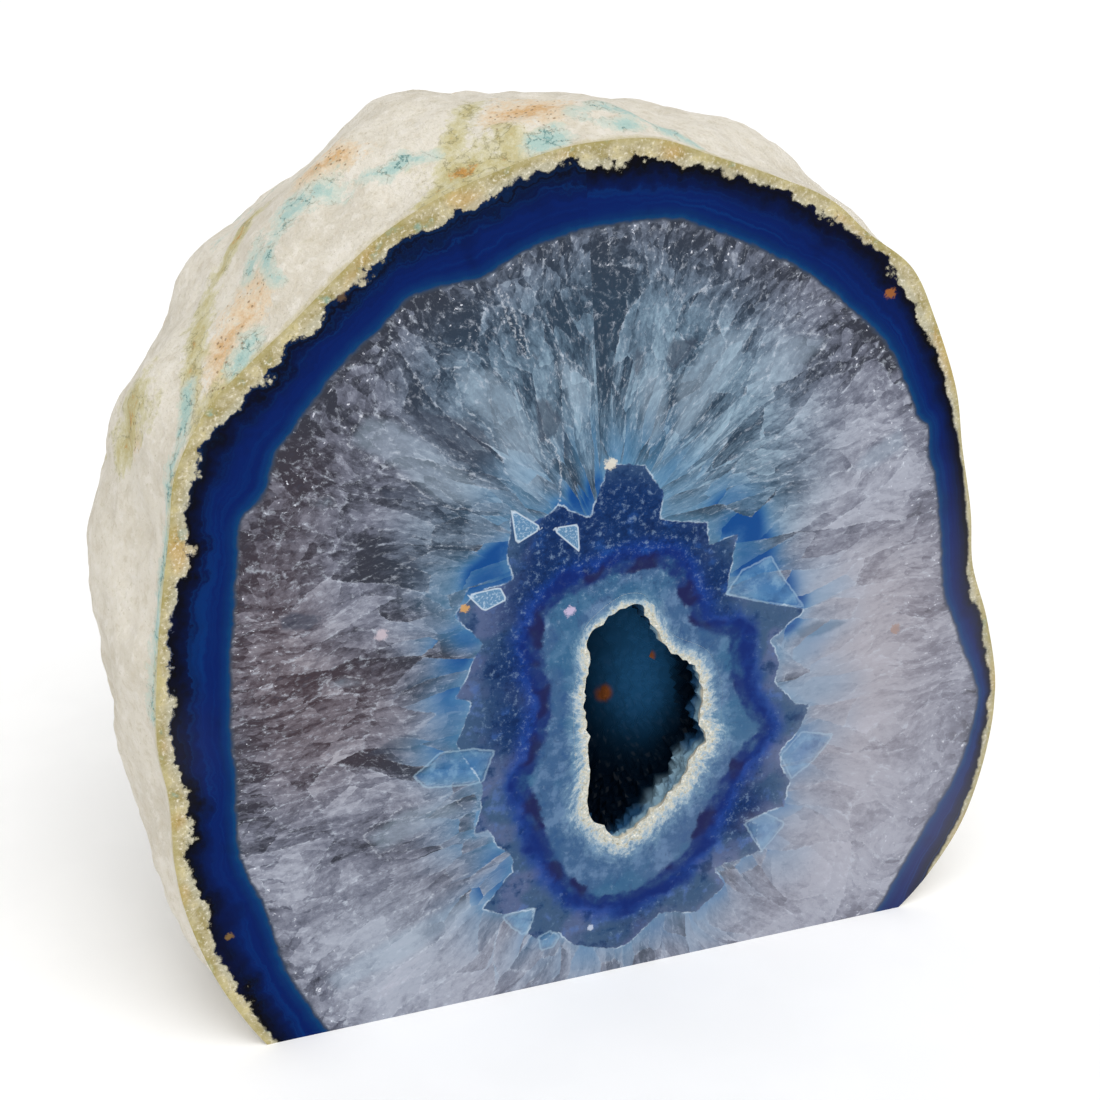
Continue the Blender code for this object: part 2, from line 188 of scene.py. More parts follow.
# Single crystals on the face that stand out
LOOSE_CRYSTALS = [
    [(-4.8, 66.3), (-1, 63.3), (-4.2, 61.8)],
    [(0.3, 63), (3.5, 63), (3.7, 59.5)],
    [(-10.3, 56.2), (-6.3, 56.5), (-5.5, 54.8), (-8.3, 53.8)],
]
DARK_SHARDS = [
    [(-17.6, 81.2), (-14, 79.7), (-10.3, 78.8), (-8.3, 77.2), (-7.3, 75.2), (-6, 70.4), (-7.3, 70.1),
     (-11.5, 73.6), (-15.3, 77.3)],
    [(-2, 79.5), (-0.4, 79.8), (2.2, 76), (3, 72), (1.6, 71.3), (0.2, 74.6), (-1.6, 73.5)],
    [(-21, 71.6), (-15.8, 70.7), (-16.6, 69.8), (-20.3, 69.7)],
    [(10.4, 85), (12, 83.2), (11.2, 79.8), (10.1, 81.5)],
    [(15, 85), (17, 84.5), (19, 84.8), (17.3, 82), (15.2, 80.3), (14, 82)],
    [(-33.3, 57.3), (-31.5, 58), (-27.2, 56.5), (-29.6, 55), (-33, 55.6)],
    [(-24, 37.4), (-20, 39.2), (-17, 39.5), (-15, 37), (-19, 36.7)],
    [(32, 44), (36, 44.8), (40.5, 43.7), (36, 42.3), (33, 42.5)],
    [(-19, 64.2), (-16.4, 61.5), (-14.8, 57.2), (-16.6, 58.8)],
]
PALE_SHARDS = [
    [(0.9, 85.1), (4.3, 82.2), (5.2, 79), (4.6, 74.5), (3, 76.3), (1.3, 80.4), (0.5, 82.5)],
    [(13.6, 82), (15, 80), (15, 75), (13.8, 71.5), (11.3, 72.5), (10.8, 76), (10.9, 80), (12, 81.6)],
    [(20, 85.2), (17.8, 81.5), (15.5, 79.8), (15.3, 70.8), (17.5, 72.2), (20.8, 76), (24, 80), (25.5, 84.5)],
    [(-12, 85), (-7, 84.5), (-3.6, 80.5), (-2.2, 76), (-0.4, 71.5), (-0.6, 67), (-4.4, 68.2), (-6, 72.8),
     (-7.4, 77), (-10.2, 79.6)],
    [(-22.5, 81), (-18.5, 79.8), (-15.5, 77.1), (-9.7, 71.7), (-7.1, 69.7), (-9.6, 67), (-14, 68.5),
     (-18.5, 73), (-24.5, 77.5)],
    [(-29.7, 71.5), (-26.5, 71.7), (-25.7, 70.2), (-28, 69.9)],
    [(-27.8, 48.2), (-26, 48.6), (-22.8, 47.5), (-24, 46.6), (-27.5, 46.8)],
    [(26, 80.5), (30.5, 83.5), (36, 82), (32, 78), (27, 75.5), (24.5, 76.5)],
    [(41, 67), (46, 69.5), (47, 66), (42, 63.5), (38.5, 64)],
    [(-24, 26.5), (-19, 29.5), (-13, 30), (-10.5, 27), (-17, 25), (-22, 23.5)],
    [(-30, 8), (-20, 12.5), (-10, 16), (-8, 14), (-18, 8), (-28, 5)],
]
BLUE_CRYSTALS = [
    [(-6.4, 11.4), (-1.9, 11.6), (-2.4, 9.6), (-3.3, 7.8), (-5.2, 9.5)],
    [(-1.6, 7.2), (0.3, 7.8), (1.2, 6.6), (0.5, 5.3), (-1.2, 5.2)],
    [(22.9, 50.5), (25, 53.3), (28.8, 54.6), (30.2, 52), (33.6, 46.8), (28.7, 48.3)],
    [(26.4, 17.6), (29.2, 18.5), (32.2, 16.5), (29, 13), (27.6, 15.5)],
    [(31.2, 26.4), (34, 29.3), (38.6, 28), (36, 25), (32.8, 22.8)],
    [(-17.5, 33.4), (-14, 36), (-9.6, 35.6), (-7.2, 34.8), (-8.7, 31), (-10.2, 30.8), (-16, 31.6)],
]

# Bright cracks and crystal edges
WHITE_LINES = [
    [(-6.3, 94), (-4.9, 89.2), (-2.6, 84.6)], [(-5.5, 93.2), (-3.6, 88.4), (-2.2, 84.9), (-2.6, 84.6)],
    [(-0.5, 74.6), (0.6, 73.2), (1.3, 71.2), (1.2, 66.2)],
]

# Place, radius and colour of small flecks
FLECKS = [
    ((7.6, 70.1), 0.9, "#d9d3c4"), ((-10.7, 54.6), 0.7, "#c9995c"), ((2.5, 51.8), 0.8, "#c3b4d0"),
    ((-21, 53), 0.9, "#bdb0b9"), ((-24.5, 95), 0.6, "#5e4a35"), ((43.3, 86.5), 0.8, "#9a5e2c"),
    ((-41, 16.5), 0.6, "#7c6138"), ((46.5, 41.5), 0.8, "#9c7f70"), ((5.4, 7), 0.5, "#b9c3d6"),
]

# The cream crust round the opening: its least and greatest width, and where it is widest
CREAM_WIDTH = (1.0, 1.9)
CREAM_WIDE_DIRECTION = np.radians(-70)

# The line that the quartz blades point at, and the circles that stand for the ways round it and the hollow
BLADE_AXIS = ((9, 26), (7, 60))
BLADE_RADIUS = 25
AROUND_RADIUS = 12

# Width and length of the quartz blades that have no setting of their own
WIDE_BLADES = (6.0, 19)
MIDDLE_BLADES = (1.9, 4.2)
SMALL_BLADES = (0.7, 2.0)
HALVES = (0.5, 0.5, 0.5)

# Soft patches on the face: x, z, radius and strength
PALE = [
    (42, 44, 9, 0.45), (42, 22, 10, 0.25), (-34, 54, 7, 0.25), (-25, 2, 8, 0.3), (43, 67, 6, 0.4),
    (42, 2, 7, 0.5), (38, 53, 8, 0.3), (-27, 46, 8, 0.1), (-13, 38, 6, 0.2), (-20, 8, 15, 0.75),
    (-33, 38, 9, 0.35), (-32, 66, 9, 0.3), (42, 66, 7, 0.5), (42, 4, 8, 0.5), (-34, 20, 9, 0.3),
    (45, 35, 20, 0.55), (40, 14, 17, 0.6), (44, 56, 11, 0.4), (30, 80, 13, 0.2), (-14, 8, 15, 0.4),
    (-20, 30, 11, 0.05), (-33, 66, 9, -0.3), (-25, 81, 9, -0.25), (2, 94, 13, -0.3), (-9, 75, 4, -0.35),
    (10, 1, 10, 0.45), (-2, 3, 6, 0.3), (-29, 50, 8, -0.2), (-12, 88, 9, -0.12), (-18, 68, 8, 0.2),
    (28, 64, 10, 0.15), (50, 50, 5, 0.25), (10, 89, 8, -0.3), (-16, 6, 9, 0.25), (-26, 46, 8, -0.15),
]
WARM = [
    (-34, 62, 9, 0.55), (-35, 50, 8, 0.6), (-32, 38, 9, 0.5), (-23, 45, 9, 0.5), (-30, 75, 8, 0.4),
    (45, 46, 13, 0.55), (42, 30, 12, 0.45), (40, 14, 12, 0.3), (5, 82, 17, -0.8), (20, 74, 15, -0.6),
    (-14, 62, 10, -0.4), (28, 60, 9, -0.4), (-20, 10, 12, -0.2), (-12, 84, 9, -0.3),
]
DYE = [
    (-3, 60, 4.0, 1.2), (4.5, 64.8, 3.6, 2.1), (-8, 58.5, 3.6, 1.1), (-10.5, 49.5, 3.4, 0.9),
    (24.5, 60, 3.4, 1.1), (27, 54.5, 4.2, 1.0), (30, 49, 4, 1.0), (24, 64, 5, 0.45),
    (31, 45.5, 2.5, 0.8), (36, 41, 3, 0.4), (34, 28, 3.5, 0.6), (32, 22, 3.6, 0.7), (29, 15, 4, 0.7),
    (23, 9, 4, 0.6), (15, 5, 4, 0.6), (5, 3, 4, 0.35), (-2, 8, 4, 0.6), (-7, 17, 5, 0.9),
    (-10, 26, 4, 0.35), (-13, 38, 5.5, 0.55), (-13, 47, 5, 0.6), (15, 71, 6, 0.4), (5, 73, 5, 0.35),
]
ROYAL = [
    (9, 61, 8, 1.0), (-4.5, 46, 5, 0.6), (-4.5, 37, 5, 0.6), (2, 60, 6, 0.7), (25, 19, 4, 0.5),
    (18, 58, 5, 0.4), (-4, 54, 4, 0.4), (27, 26, 3, 0.35), (22, 52, 4, 0.6), (12, 6, 5, 0.35),
    (27, 20, 4, 0.3),
]
# Painted reflection: pale veils painted over the polish, strongest at the lower right, where the bright room
# would mirror in it
PAINTED_REFLECTION_PATCHES = [(-50, 42, 12, 0.7), (60, 10, 12, 0.5), (52, 20, 34, 0.8), (62, 50, 22, 0.6), (30, 0, 26, 0.45),
        (-10, -5, 26, 0.25)]

# Soft spots on the druse: x, y, z, radius and strength
# Painted glow: soft teal light painted on the hollow's back wall, as colour and as emission, though no lamp
# is there
PAINTED_GLOW_SPOTS = [(20.5, 19, 29.5, 6.5, 1.0), (19, 18, 38, 8, 0.6), (19, 3, 26, 2.2, 1.5), (15.5, 3, 22.5, 2, 1.3)]
RUST = [(16, 22, 27.5, 1.3, 1.0), (20, 16, 35, 0.9, 0.8)]

# Stains on the rind: lines and spots on its surface, from the sheet's origin, with a width
TURQUOISE = [
    ([(-11.2, 6.6, 107.9), (-13.9, 8.5, 107.6), (-16.4, 8.2, 106.2), (-19.9, 10.4, 104.8),
      (-23, 12, 103.4), (-24.9, 13.7, 102.3), (-27, 12.8, 100.8), (-29.3, 11.2, 98.8),
      (-30.7, 8.3, 96.9), (-30.3, 5.6, 96)], 0.7),
    ([(-22.2, 12.1, 104), (-25.6, 13.6, 101.8)], 1.5),
    ([(-30.4, 12.8, 97.9), (-32.4, 11.4, 95.2)], 0.9),
    ([(-34.3, 2.5, 90.7), (-35.8, 1.0, 88.3)], 1.3),
    ([(-41.2, 5.4, 84.5), (-42.3, 3.4, 81.9), (-43.3, 1.6, 79.3), (-44.3, 1.0, 76.4),
      (-44.9, 0.8, 73)], 0.9),
    ([(-45.2, 0.6, 70.5), (-46.4, 0.8, 63), (-47.4, 0.8, 56), (-48, 0.8, 47)], 0.9),
    ([(-0.7, 1.5, 109.4), (1.6, 2.1, 110)], 1.2),
    ([(5.2, 5.4, 111.4), (8, 6.6, 111.6), (11, 6, 111), (13.6, 4.4, 109.9), (15.5, 3.2, 108.9)], 1.0),
    ([(5.4, 4.2, 111.2), (8, 3, 110.6), (11.5, 2.8, 109.9)], 0.7),
    ([(17.1, 2.2, 107.8), (18.2, 1.8, 107.2)], 0.8),
    ([(35.2, 1.6, 98.9), (36.2, 0.6, 98)], 1.0),
    ([(43, 0.6, 92), (45.4, 0.6, 90)], 0.9),
]
OCHRE = [
    ([(-3.9, 14.2, 111.2), (-8.8, 7.5, 109.1), (-12.7, 1.5, 105.4), (-15, 0.6, 104.1)], 1.0),
    ([(-9.6, 2.6, 107), (-6, 2.2, 107.8)], 2.6),
    ([(-3.8, 3.5, 109.5), (-5.3, 0.8, 107.6)], 1.9),
    ([(-28.8, 21.5, 97.9), (-31.5, 19.7, 95.8), (-34.6, 17.8, 91.9), (-37.5, 14.4, 88.9),
      (-39.9, 8, 86.8), (-41, 3.6, 84.1)], 1.3),
    ([(-39.6, 0.8, 83.4), (-38.6, 0.6, 84.6)], 2.2),
    ([(-45.1, 13.8, 80.8), (-46.2, 17, 75.1)], 2.4),
    ([(36, 2, 98.4), (37.3, 0.8, 97)], 1.4),
]
PEACH = [
    ([(-33.1, 7.4, 93.4), (-36.3, 4.6, 90), (-38.8, 2, 86.4)], 2.6),
    ([(-20.3, 14.6, 106.3), (-22.5, 15.4, 104.8)], 2.4),
    ([(2.4, 7.9, 111.6), (-1, 9, 111.4)], 3.0),
    ([(36, 3, 98.4), (34.6, 3.2, 99)], 1.6),
    ([(-45.4, 15, 78), (-45, 12.6, 76)], 1.4),
]

# Large numbers that scramble a noise cell's place and its seed
CELL_PRIMES = np.array([73856093, 19349663, 83492791])
SEED_PRIME = 2654435
MIX_PRIME = 1274126177

# How turquoise, ochre and peach are broken up: the grain of the scattered stains and their seed, then how
# far noise in a coarse and a fine grain moves the stain's outline, as a share of its width
STAIN_GRAINS = [(19, 11, 5.0, 4.2), (27, 53, 4.5, 4.2), (31, 97, 4.0, 4.6)]

# How finely the surfaces are divided
STONE_COLUMNS = 440
RIND_ROWS = 126
FACE_ROWS = 90
BASE_ROWS = 5
POCKET_ROWS = 6
CUT_STEPS = 400
DRUSE_COLUMNS = 264
DRUSE_ROWS = 86
DRUSE_RIM_ROWS = 9
DRUSE_BACK_ROWS = 12
FLOOR_SIDES = 96
CORNER_STEPS = 40001
FACE_CROWDING = 1.3
SEAM = 0.015
WELD_DISTANCE = 1e-7

# The view
VIEW_AZIMUTH = math.radians(-21.338)
VIEW_ELEVATION = math.radians(25)
VIEW_DISTANCE = 0.34
VIEW_ANGLE = math.radians(21.5)
VIEW_TARGET = (0, 0, 60.293)
SENSOR = 36


def smooth_step(value):
    """Rises from 0 to 1 as 3v squared minus 2v cubed while value goes from 0 to 1."""
    value = np.clip(value, 0, 1)
    return value * value * (3 - 2 * value)


def closed_curve(points, steps=16):
    """A closed curve through the points: between two of them it is the cubic whose slope at each is
    half the way from the point before to the point after."""
    here = np.array(points, float)
    before, after, later = (np.roll(here, k, axis=0) for k in (1, -1, -2))
    t = np.linspace(0, 1, steps, endpoint=False)[:, None, None]
    curve = 0.5 * (2 * here + (after - before) * t + (2 * before - 5 * here + 4 * after - later) * t ** 2
                   + (3 * here - before - 3 * after + later) * t ** 3)
    return curve.transpose(1, 0, 2).reshape(-1, 2)


def radius_about(outline, centre, angles):
    """The outline's distance from a centre on the sheet, in each of the directions."""
    across = closed_curve(outline) - np.array(centre)
    direction = np.arctan2(across[:, 1], across[:, 0])
    order = np.argsort(direction)
    distance = np.hypot(across[:, 0], across[:, 1])
    return np.interp(angles, direction[order], distance[order], period=2 * np.pi)


def soft_radius_about(outline, centre, angles, waves):
    """The same distance with only the outline's broadest waves left."""
    even = np.linspace(-np.pi, np.pi, EVEN_DIRECTIONS, endpoint=False)
    spectrum = np.fft.rfft(radius_about(outline, centre, even))
    spectrum[waves:] = 0
    return np.interp(angles, even, np.fft.irfft(spectrum, EVEN_DIRECTIONS), period=2 * np.pi)


def value_noise(points, seed):
    """Smooth noise from -1 to 1: each corner of a lattice of unit cells has a fixed value, and a point
    gets the mean of its cell's eight, weighted by smooth steps."""
    cell = np.floor(points).astype(np.int64)
    inside = smooth_step(points - cell)
    total = np.zeros(points.shape[:-1])
    for corner in itertools.product((0, 1), repeat=3):
        at = cell + np.array(corner)
        mixed = np.bitwise_xor.reduce(at * CELL_PRIMES, axis=-1) ^ (seed * SEED_PRIME)
        mixed = (mixed ^ (mixed >> 13)) * MIX_PRIME & 0x7FFFFFFF
        weight = np.prod(np.where(np.array(corner) == 1, inside, 1 - inside), axis=-1)
        total += weight * (mixed / 0x3FFFFFFF - 1)
    return total


def turn_between(angles, direction):
    """The signed turn from a direction to each of the angles."""
    return (angles - direction + np.pi) % (2 * np.pi) - np.pi


def bare_body(angles, back):
    """Points and outward directions of the stone before its rind's relief: each ring is the face's
    outline, smoothed and swollen on its way back and drawn in along a squared-off ellipse. back is the
    share of the depth, one row of shares or one for each column."""
    edge = radius_about(FACE_OUTLINE, BODY_CENTRE, angles)
    soft = soft_radius_about(FACE_OUTLINE, BODY_CENTRE, angles, SMOOTH_BACK_WAVES)
    drawn_in = (1 - np.minimum(back, 1) ** BODY_POWER) ** (1 / BODY_POWER)
    mix = smooth_step(back / SMOOTH_BACK_SHARE)
    swell = SWELL_ALL_ROUND + SWELL_ONE_SIDE * np.cos(angles - SWELL_DIRECTION)
    swelling = swell * back / SWELL_SHARE * np.exp(1 - back / SWELL_SHARE)
    radius = (edge * (1 - mix) + soft * mix + swelling) * drawn_in
    sideways = drawn_in ** (BODY_POWER - 1) / soft
    points = np.stack([BODY_CENTRE[0] + radius * np.cos(angles),
                       BODY_DEPTH * back + 0 * radius,
                       BODY_CENTRE[1] + radius * np.sin(angles)], axis=-1)
    normals = np.stack([sideways * np.cos(angles),
                        back ** (BODY_POWER - 1) / BODY_DEPTH + 0 * sideways,
                        sideways * np.sin(angles)], axis=-1)
    return points, normals / np.linalg.norm(normals, axis=-1, keepdims=True)


def pit_depths(points, count, seed, radii, depths):
    """Depth of pits scattered over the rind: each falls off with the square of the distance."""
    draw = np.random.default_rng(seed)
    where = np.stack([draw.uniform(*PIT_TURNS, count), draw.uniform(*PIT_SHARES, count)], axis=-1)
    total = np.zeros(points.shape[:-1])
    for (turn, share), mix in zip(where, draw.uniform(0, 1, count)):
        centre = bare_body(np.array([turn]), np.array([[share]]))[0][0, 0]
        radius = radii[0] + mix * (radii[1] - radii[0])
        depth = depths[0] + mix * (depths[1] - depths[0])
        away = np.linalg.norm(points - centre, axis=-1)
        total += depth * np.exp(-(away / radius) ** 2 * 2)
    return total


def rind_relief(angles, back, points):
    """Height of the rind over the bare body: noise in two grains, lumps, ledges and pits."""
    height = BROAD_HEIGHT * value_noise(points * MM / (BROAD_GRAIN * MM), 3)
    height += MIDDLE_HEIGHT * value_noise(points * MM / (MIDDLE_GRAIN * MM), 5)
    for direction, share, spread, spread_share, lump in RIND_LUMPS:
        turn = turn_between(angles, np.radians(direction)) / np.radians(spread)
        height += lump * np.exp(-turn ** 2 - ((back - share) / spread_share) ** 2)
    for direction, share, reach, spread_share, ledge in RIND_LEDGES:
        turn = turn_between(angles, np.radians(direction))
        rise = 1 / (1 + np.exp(-np.clip(turn / LEDGE_FRONT, -30, 30)))
        fall = np.exp(-(turn / np.radians(reach)) ** 2 - ((back - share) / spread_share) ** 2)
        height += ledge * rise * fall
    height -= pit_depths(points, PIT_COUNT, PIT_SEED, PIT_RADIUS, PIT_DEPTH)
    return height * smooth_step(back / RELIEF_FADE_SHARE)


def fine_relief(back, points, grain):
    """The rind's fine grain, which only goes inward: two sizes of noise and many small pits."""
    height = grain * (value_noise(points / FINE_GRAINS[0], 11) - 1)
    height += FINE_SECOND_SHARE * grain * (value_noise(points / FINE_GRAINS[1], 13) - 1)
    height -= pit_depths(points, FINE_PIT_COUNT, FINE_PIT_SEED, FINE_PIT_RADIUS, FINE_PIT_DEPTH)
    return height * smooth_step(back / FINE_FADE_SHARE)


def body_surface(angles, back, grain=0):
    """Points of the rind, with fine grain of a depth."""
    points, normals = bare_body(angles, back)
    height = rind_relief(angles, back, points)
    if grain:
        height = height + fine_relief(back, points, grain)
    return points + normals * height[..., None]


def sheet_to_frame():
    """The move from the sheet to the frame: the middle of the standing stone's box goes to the origin."""
    angles = np.linspace(-np.pi, np.pi, CAD_COLUMNS, endpoint=False)
    shares = np.sin(np.linspace(0, np.pi / 2, CAD_RINGS + 1)) ** (2 / BODY_POWER)
    points = body_surface(angles, shares[:, None]).reshape(-1, 3)
    standing = points[points[:, 2] >= 0]
    middle = (standing.min(axis=0) + standing.max(axis=0)) / 2
    return np.array([-middle[0], -middle[1], 0])


def stone_columns():
    """Directions of the columns round the stone, moved so that two of them meet the base's corners."""
    angles = np.linspace(-np.pi, np.pi, STONE_COLUMNS, endpoint=False)
    dense = np.linspace(-np.pi, 0, CORNER_STEPS)
    level = BODY_CENTRE[1] + radius_about(FACE_OUTLINE, BODY_CENTRE, dense) * np.sin(dense)
    crossing = np.nonzero(np.diff(np.sign(level)))[0]
    corners = [dense[crossing[0]], dense[crossing[-1]]]
    columns = [int(np.abs(angles - corner).argmin()) for corner in corners]
    angles[columns] = corners
    return angles, columns[0], columns[1]


def rind_grid(angles, left, right, grain):
    """The rind from its foot to its back pole. The foot of a column is on the face's edge, or for the
    columns between the corners where the column comes up through the base."""
    psi = np.linspace(0, np.pi / 2, CUT_STEPS)
    dense = np.sin(psi)[:, None] ** (2 / BODY_POWER)
    low = np.arange(left + 1, right)
    level = body_surface(angles[low], dense, grain)[..., 2]
    under = (level < 0).sum(axis=0)
    k = np.arange(len(low))
    before, after = level[under - 1, k], level[under, k]
    start = np.zeros(len(angles))
    start[low] = psi[under - 1] + (psi[1] - psi[0]) * before / (before - after)
    along = np.linspace(0, 1, RIND_ROWS)[:, None] ** (BODY_POWER / 2)
    turned = start + (np.pi / 2 - start) * along
    grid = body_surface(angles, np.sin(turned) ** (2 / BODY_POWER), grain)
    grid[0, low, 2] = 0
    grid[0, [left, right], 2] = 0
    grid[-1] = grid[-1].mean(axis=0)
    return grid


def hollow_rings(angles, shares, out, floor):
    """Rings of the hollow's wall, moved out by a distance, and with its floor moved back."""
    edge = radius_about(HOLLOW_OUTLINE, HOLLOW_CENTRE, angles)
    soft = soft_radius_about(HOLLOW_OUTLINE, HOLLOW_CENTRE, angles, SMOOTH_HOLLOW_WAVES)
    quarter = shares[:, None] * np.pi / 2
    narrowing = np.cos(quarter) ** HOLLOW_ROUNDING * (1 + HOLLOW_WIDENING * np.sin(2 * quarter))
    mix = smooth_step(2 * shares[:, None])
    radius = (edge * (1 - mix) + soft * mix) * narrowing + out * np.cos(quarter) ** BACK_ROUNDING
    return np.stack([HOLLOW_CENTRE[0] + radius * np.cos(angles),
                     (HOLLOW_DEPTH + floor) * np.sin(quarter) + 0 * radius,
                     HOLLOW_CENTRE[1] + radius * np.sin(angles)], axis=-1)


def crust_back(angles):
    """How far the crust's back lies outside the dark opening, in each direction."""
    return CRUST_THICKNESS + CRUST_EXTRA * np.cos(angles - CRUST_EXTRA_DIRECTION)


def grid_faces(rows, columns, first=0, closed=True):
    """Four-sided faces between the points of a grid that starts at a number, its columns closed or not."""
    across = columns if closed else columns - 1
    r, c = np.meshgrid(np.arange(rows - 1), np.arange(across), indexing="ij")
    after = (c + 1) % columns
    corners = [r * columns + c, r * columns + after, (r + 1) * columns + after, (r + 1) * columns + c]
    return np.stack(corners, -1).reshape(-1, 4) + first


def distance_to_line(points, line, closed=True):
    """Distance from each point to a line of straight stretches, in two or three dimensions."""
    line = np.array(line, float)
    ends = np.roll(line, -1, axis=0)
    if not closed:
        line, ends = line[:-1], ends[:-1]
    best = np.full(points.shape[:-1], np.inf)
    for start, end in zip(line, ends):
        along = end - start
        share = np.clip(((points - start) @ along) / max(along @ along, 1e-12), 0, 1)
        best = np.minimum(best, np.linalg.norm(points - start - share[..., None] * along, axis=-1))
    return best


def signed_distance(points, outline):
    """Distance to an outline, positive inside: a point is inside if a line to its right crosses the
    outline an odd number of times."""
    line = np.array(outline, float)
    inside = np.zeros(points.shape[:-1], bool)
    for (x0, z0), (x1, z1) in zip(line, np.roll(line, -1, axis=0)):
        if z0 == z1:
            continue
        spans = (z0 > points[..., 1]) != (z1 > points[..., 1])
        inside ^= spans & (points[..., 0] < (x1 - x0) * (points[..., 1] - z0) / (z1 - z0) + x0)
    return np.where(inside, 1, -1) * distance_to_line(points, outline)


def soft_patches(points, patches):
    """The sum of round patches: each has its strength at its centre and falls off with the square of
    the distance over its radius."""
    total = np.zeros(points.shape[:-1])
    for x, z, radius, strength in patches:
        total += strength * np.exp(-((points[..., 0] - x) ** 2 + (points[..., 1] - z) ** 2) / radius ** 2)
    return total


def soft_spots(points, spots):
    """The same in three dimensions."""
    total = np.zeros(points.shape[:-1])
    for *centre, radius, strength in spots:
        total += strength * np.exp(-((points - centre) ** 2).sum(axis=-1) / radius ** 2)
    return total


def stain(points, lines):
    """How far each point is from a stain's lines, as a share of their widths, up to 8."""
    away = np.full(points.shape[:-1], 8.0)
    for line, width in lines:
        away = np.minimum(away, distance_to_line(points, line, closed=False) / width)
    return away


def blade_space(tree, sheet):
    """Coordinates that follow the quartz blades. The first goes round a capsule as the foot of the point
    on the blades' axis goes round it, and the second is the distance from the axis."""
    low, high = (np.array(end, float) for end in BLADE_AXIS)
    length = float(np.linalg.norm(high - low))
    axis = (high - low) / length
    away = vector(tree, "SUBTRACT", sheet, (low[0], 0, low[1]))
    up = measure(tree, "DOT_PRODUCT", away, (axis[0], 0, axis[1]))
    side = measure(tree, "DOT_PRODUCT", away, (axis[1], 0, -axis[0]))
    along = add(tree, "Clamp", {"Value": up, "Min": 0.0, "Max": length})
    past = calc(tree, "SUBTRACT", up, along)
    out = add(tree, "CombineXYZ", (side, past, 0.0))
    out = measure(tree, "LENGTH", out)
    flank = calc(tree, "ABSOLUTE", side)
    tilt = calc(tree, "ARCTAN2", past, flank)
    way = calc(tree, "MULTIPLY_ADD", tilt, BLADE_RADIUS, along)
    way = calc(tree, "ADD", way, BLADE_RADIUS * math.pi / 2)
    hand = calc(tree, "SIGN", side)
    way = product(tree, way, hand)
    return add(tree, "CombineXYZ", (way, out, 0.0))


def face_fields(sheet):
    """What the face's material needs to know at each point of the sheet, as named columns of three."""
    rim = signed_distance(sheet, closed_curve(RIND_INNER_LINE, 4))
    band = signed_distance(sheet, closed_curve(BAND_INNER_LINE, 4))
    front = signed_distance(sheet, CRYSTAL_FRONT)
    ring = -signed_distance(sheet, closed_curve(RING_LINE, 5))
    hole = -signed_distance(sheet, closed_curve(HOLLOW_OUTLINE, 4))
    outer = signed_distance(sheet, closed_curve(FACE_OUTLINE, 6))
    chip = np.max([signed_distance(sheet, crystal) for crystal in LOOSE_CRYSTALS], axis=0)
    shards = [np.max([signed_distance(sheet, outline) for outline in outlines], axis=0)
              for outlines in (DARK_SHARDS, PALE_SHARDS, BLUE_CRYSTALS)]
    from_hollow = sheet - np.array(HOLLOW_CENTRE)
    angle = np.arctan2(from_hollow[..., 1], from_hollow[..., 0])
    wide = 0.5 + 0.5 * np.cos(angle - CREAM_WIDE_DIRECTION)
    cream = hole / (CREAM_WIDTH[0] + (CREAM_WIDTH[1] - CREAM_WIDTH[0]) * wide)
    around = np.stack([AROUND_RADIUS * np.cos(angle), AROUND_RADIUS * np.sin(angle), hole], axis=-1)
    tints = [soft_patches(sheet, patches) for patches in (PALE, WARM, DYE, ROYAL, PAINTED_REFLECTION_PATCHES)]
    return {
        "edges": np.stack([rim, band, front], axis=-1),
        "rings": np.stack([ring, cream, chip], axis=-1),
        "around": around,
        "tints": np.stack(tints[:3], axis=-1),
        "depths": np.stack([tints[3], tints[4], outer], axis=-1),
        "marks": np.stack(shards, axis=-1),
    }


def make_mesh(name, points, faces, material_of, fields, smooth):
    """A mesh object in the frame's metres from sheet points, faces by group, and named fields."""
    mesh = bpy.data.meshes.new(name)
    flat = [face for group in faces for face in group]
    mesh.from_pydata((points + sheet_to_frame()) * MM, [], flat)
    mesh.polygons.foreach_set("material_index", np.repeat(material_of, [len(group) for group in faces]))
    mesh.polygons.foreach_set("use_smooth", np.repeat(smooth, [len(group) for group in faces]))
    for label, values in fields.items():
        attribute = mesh.attributes.new(label, "FLOAT_VECTOR", "POINT")
        attribute.data.foreach_set("vector", values.astype(np.float32).ravel())
    made = bpy.data.objects.new(name, mesh)
    bpy.context.scene.collection.objects.link(made)
    mesh.update()
    return made


def linear(colour):
    """The linear red, green, blue and alpha of a hex colour."""
    parts = np.array([int(colour[k:k + 2], 16) for k in (1, 3, 5)]) / 255
    parts = np.where(parts <= 0.04045, parts / 12.92, ((parts + 0.055) / 1.055) ** 2.4)
    return (*[float(part) for part in parts], 1.0)


def add(tree, kind, inputs=(), out=0, **settings):
    """Adds a node, gives it its settings, fills its inputs by name or number with links or values, and
    returns one of its outputs."""
    node = tree.nodes.new("ShaderNode" + kind)
    for name, value in settings.items():
        setattr(node, name, value)
    pairs = inputs.items() if isinstance(inputs, dict) else enumerate(inputs)
    for name, value in pairs:
        if isinstance(value, bpy.types.NodeSocket):
            tree.links.new(value, node.inputs[name])
        else:
            node.inputs[name].default_value = value
    return node.outputs[out] if len(node.outputs) else None


def calc(tree, operation, *numbers):
    """A number worked out from others."""
    return add(tree, "Math", numbers, operation=operation)


def product(tree, *factors):
    """Numbers multiplied by each other."""
    return functools.reduce(lambda one, other: calc(tree, "MULTIPLY", one, other), factors)


def vector(tree, operation, *places):
    """A vector worked out from others."""
    return add(tree, "VectorMath", places, operation=operation)


def measure(tree, operation, *places):
    """A number worked out from vectors."""
    return add(tree, "VectorMath", places, out="Value", operation=operation)


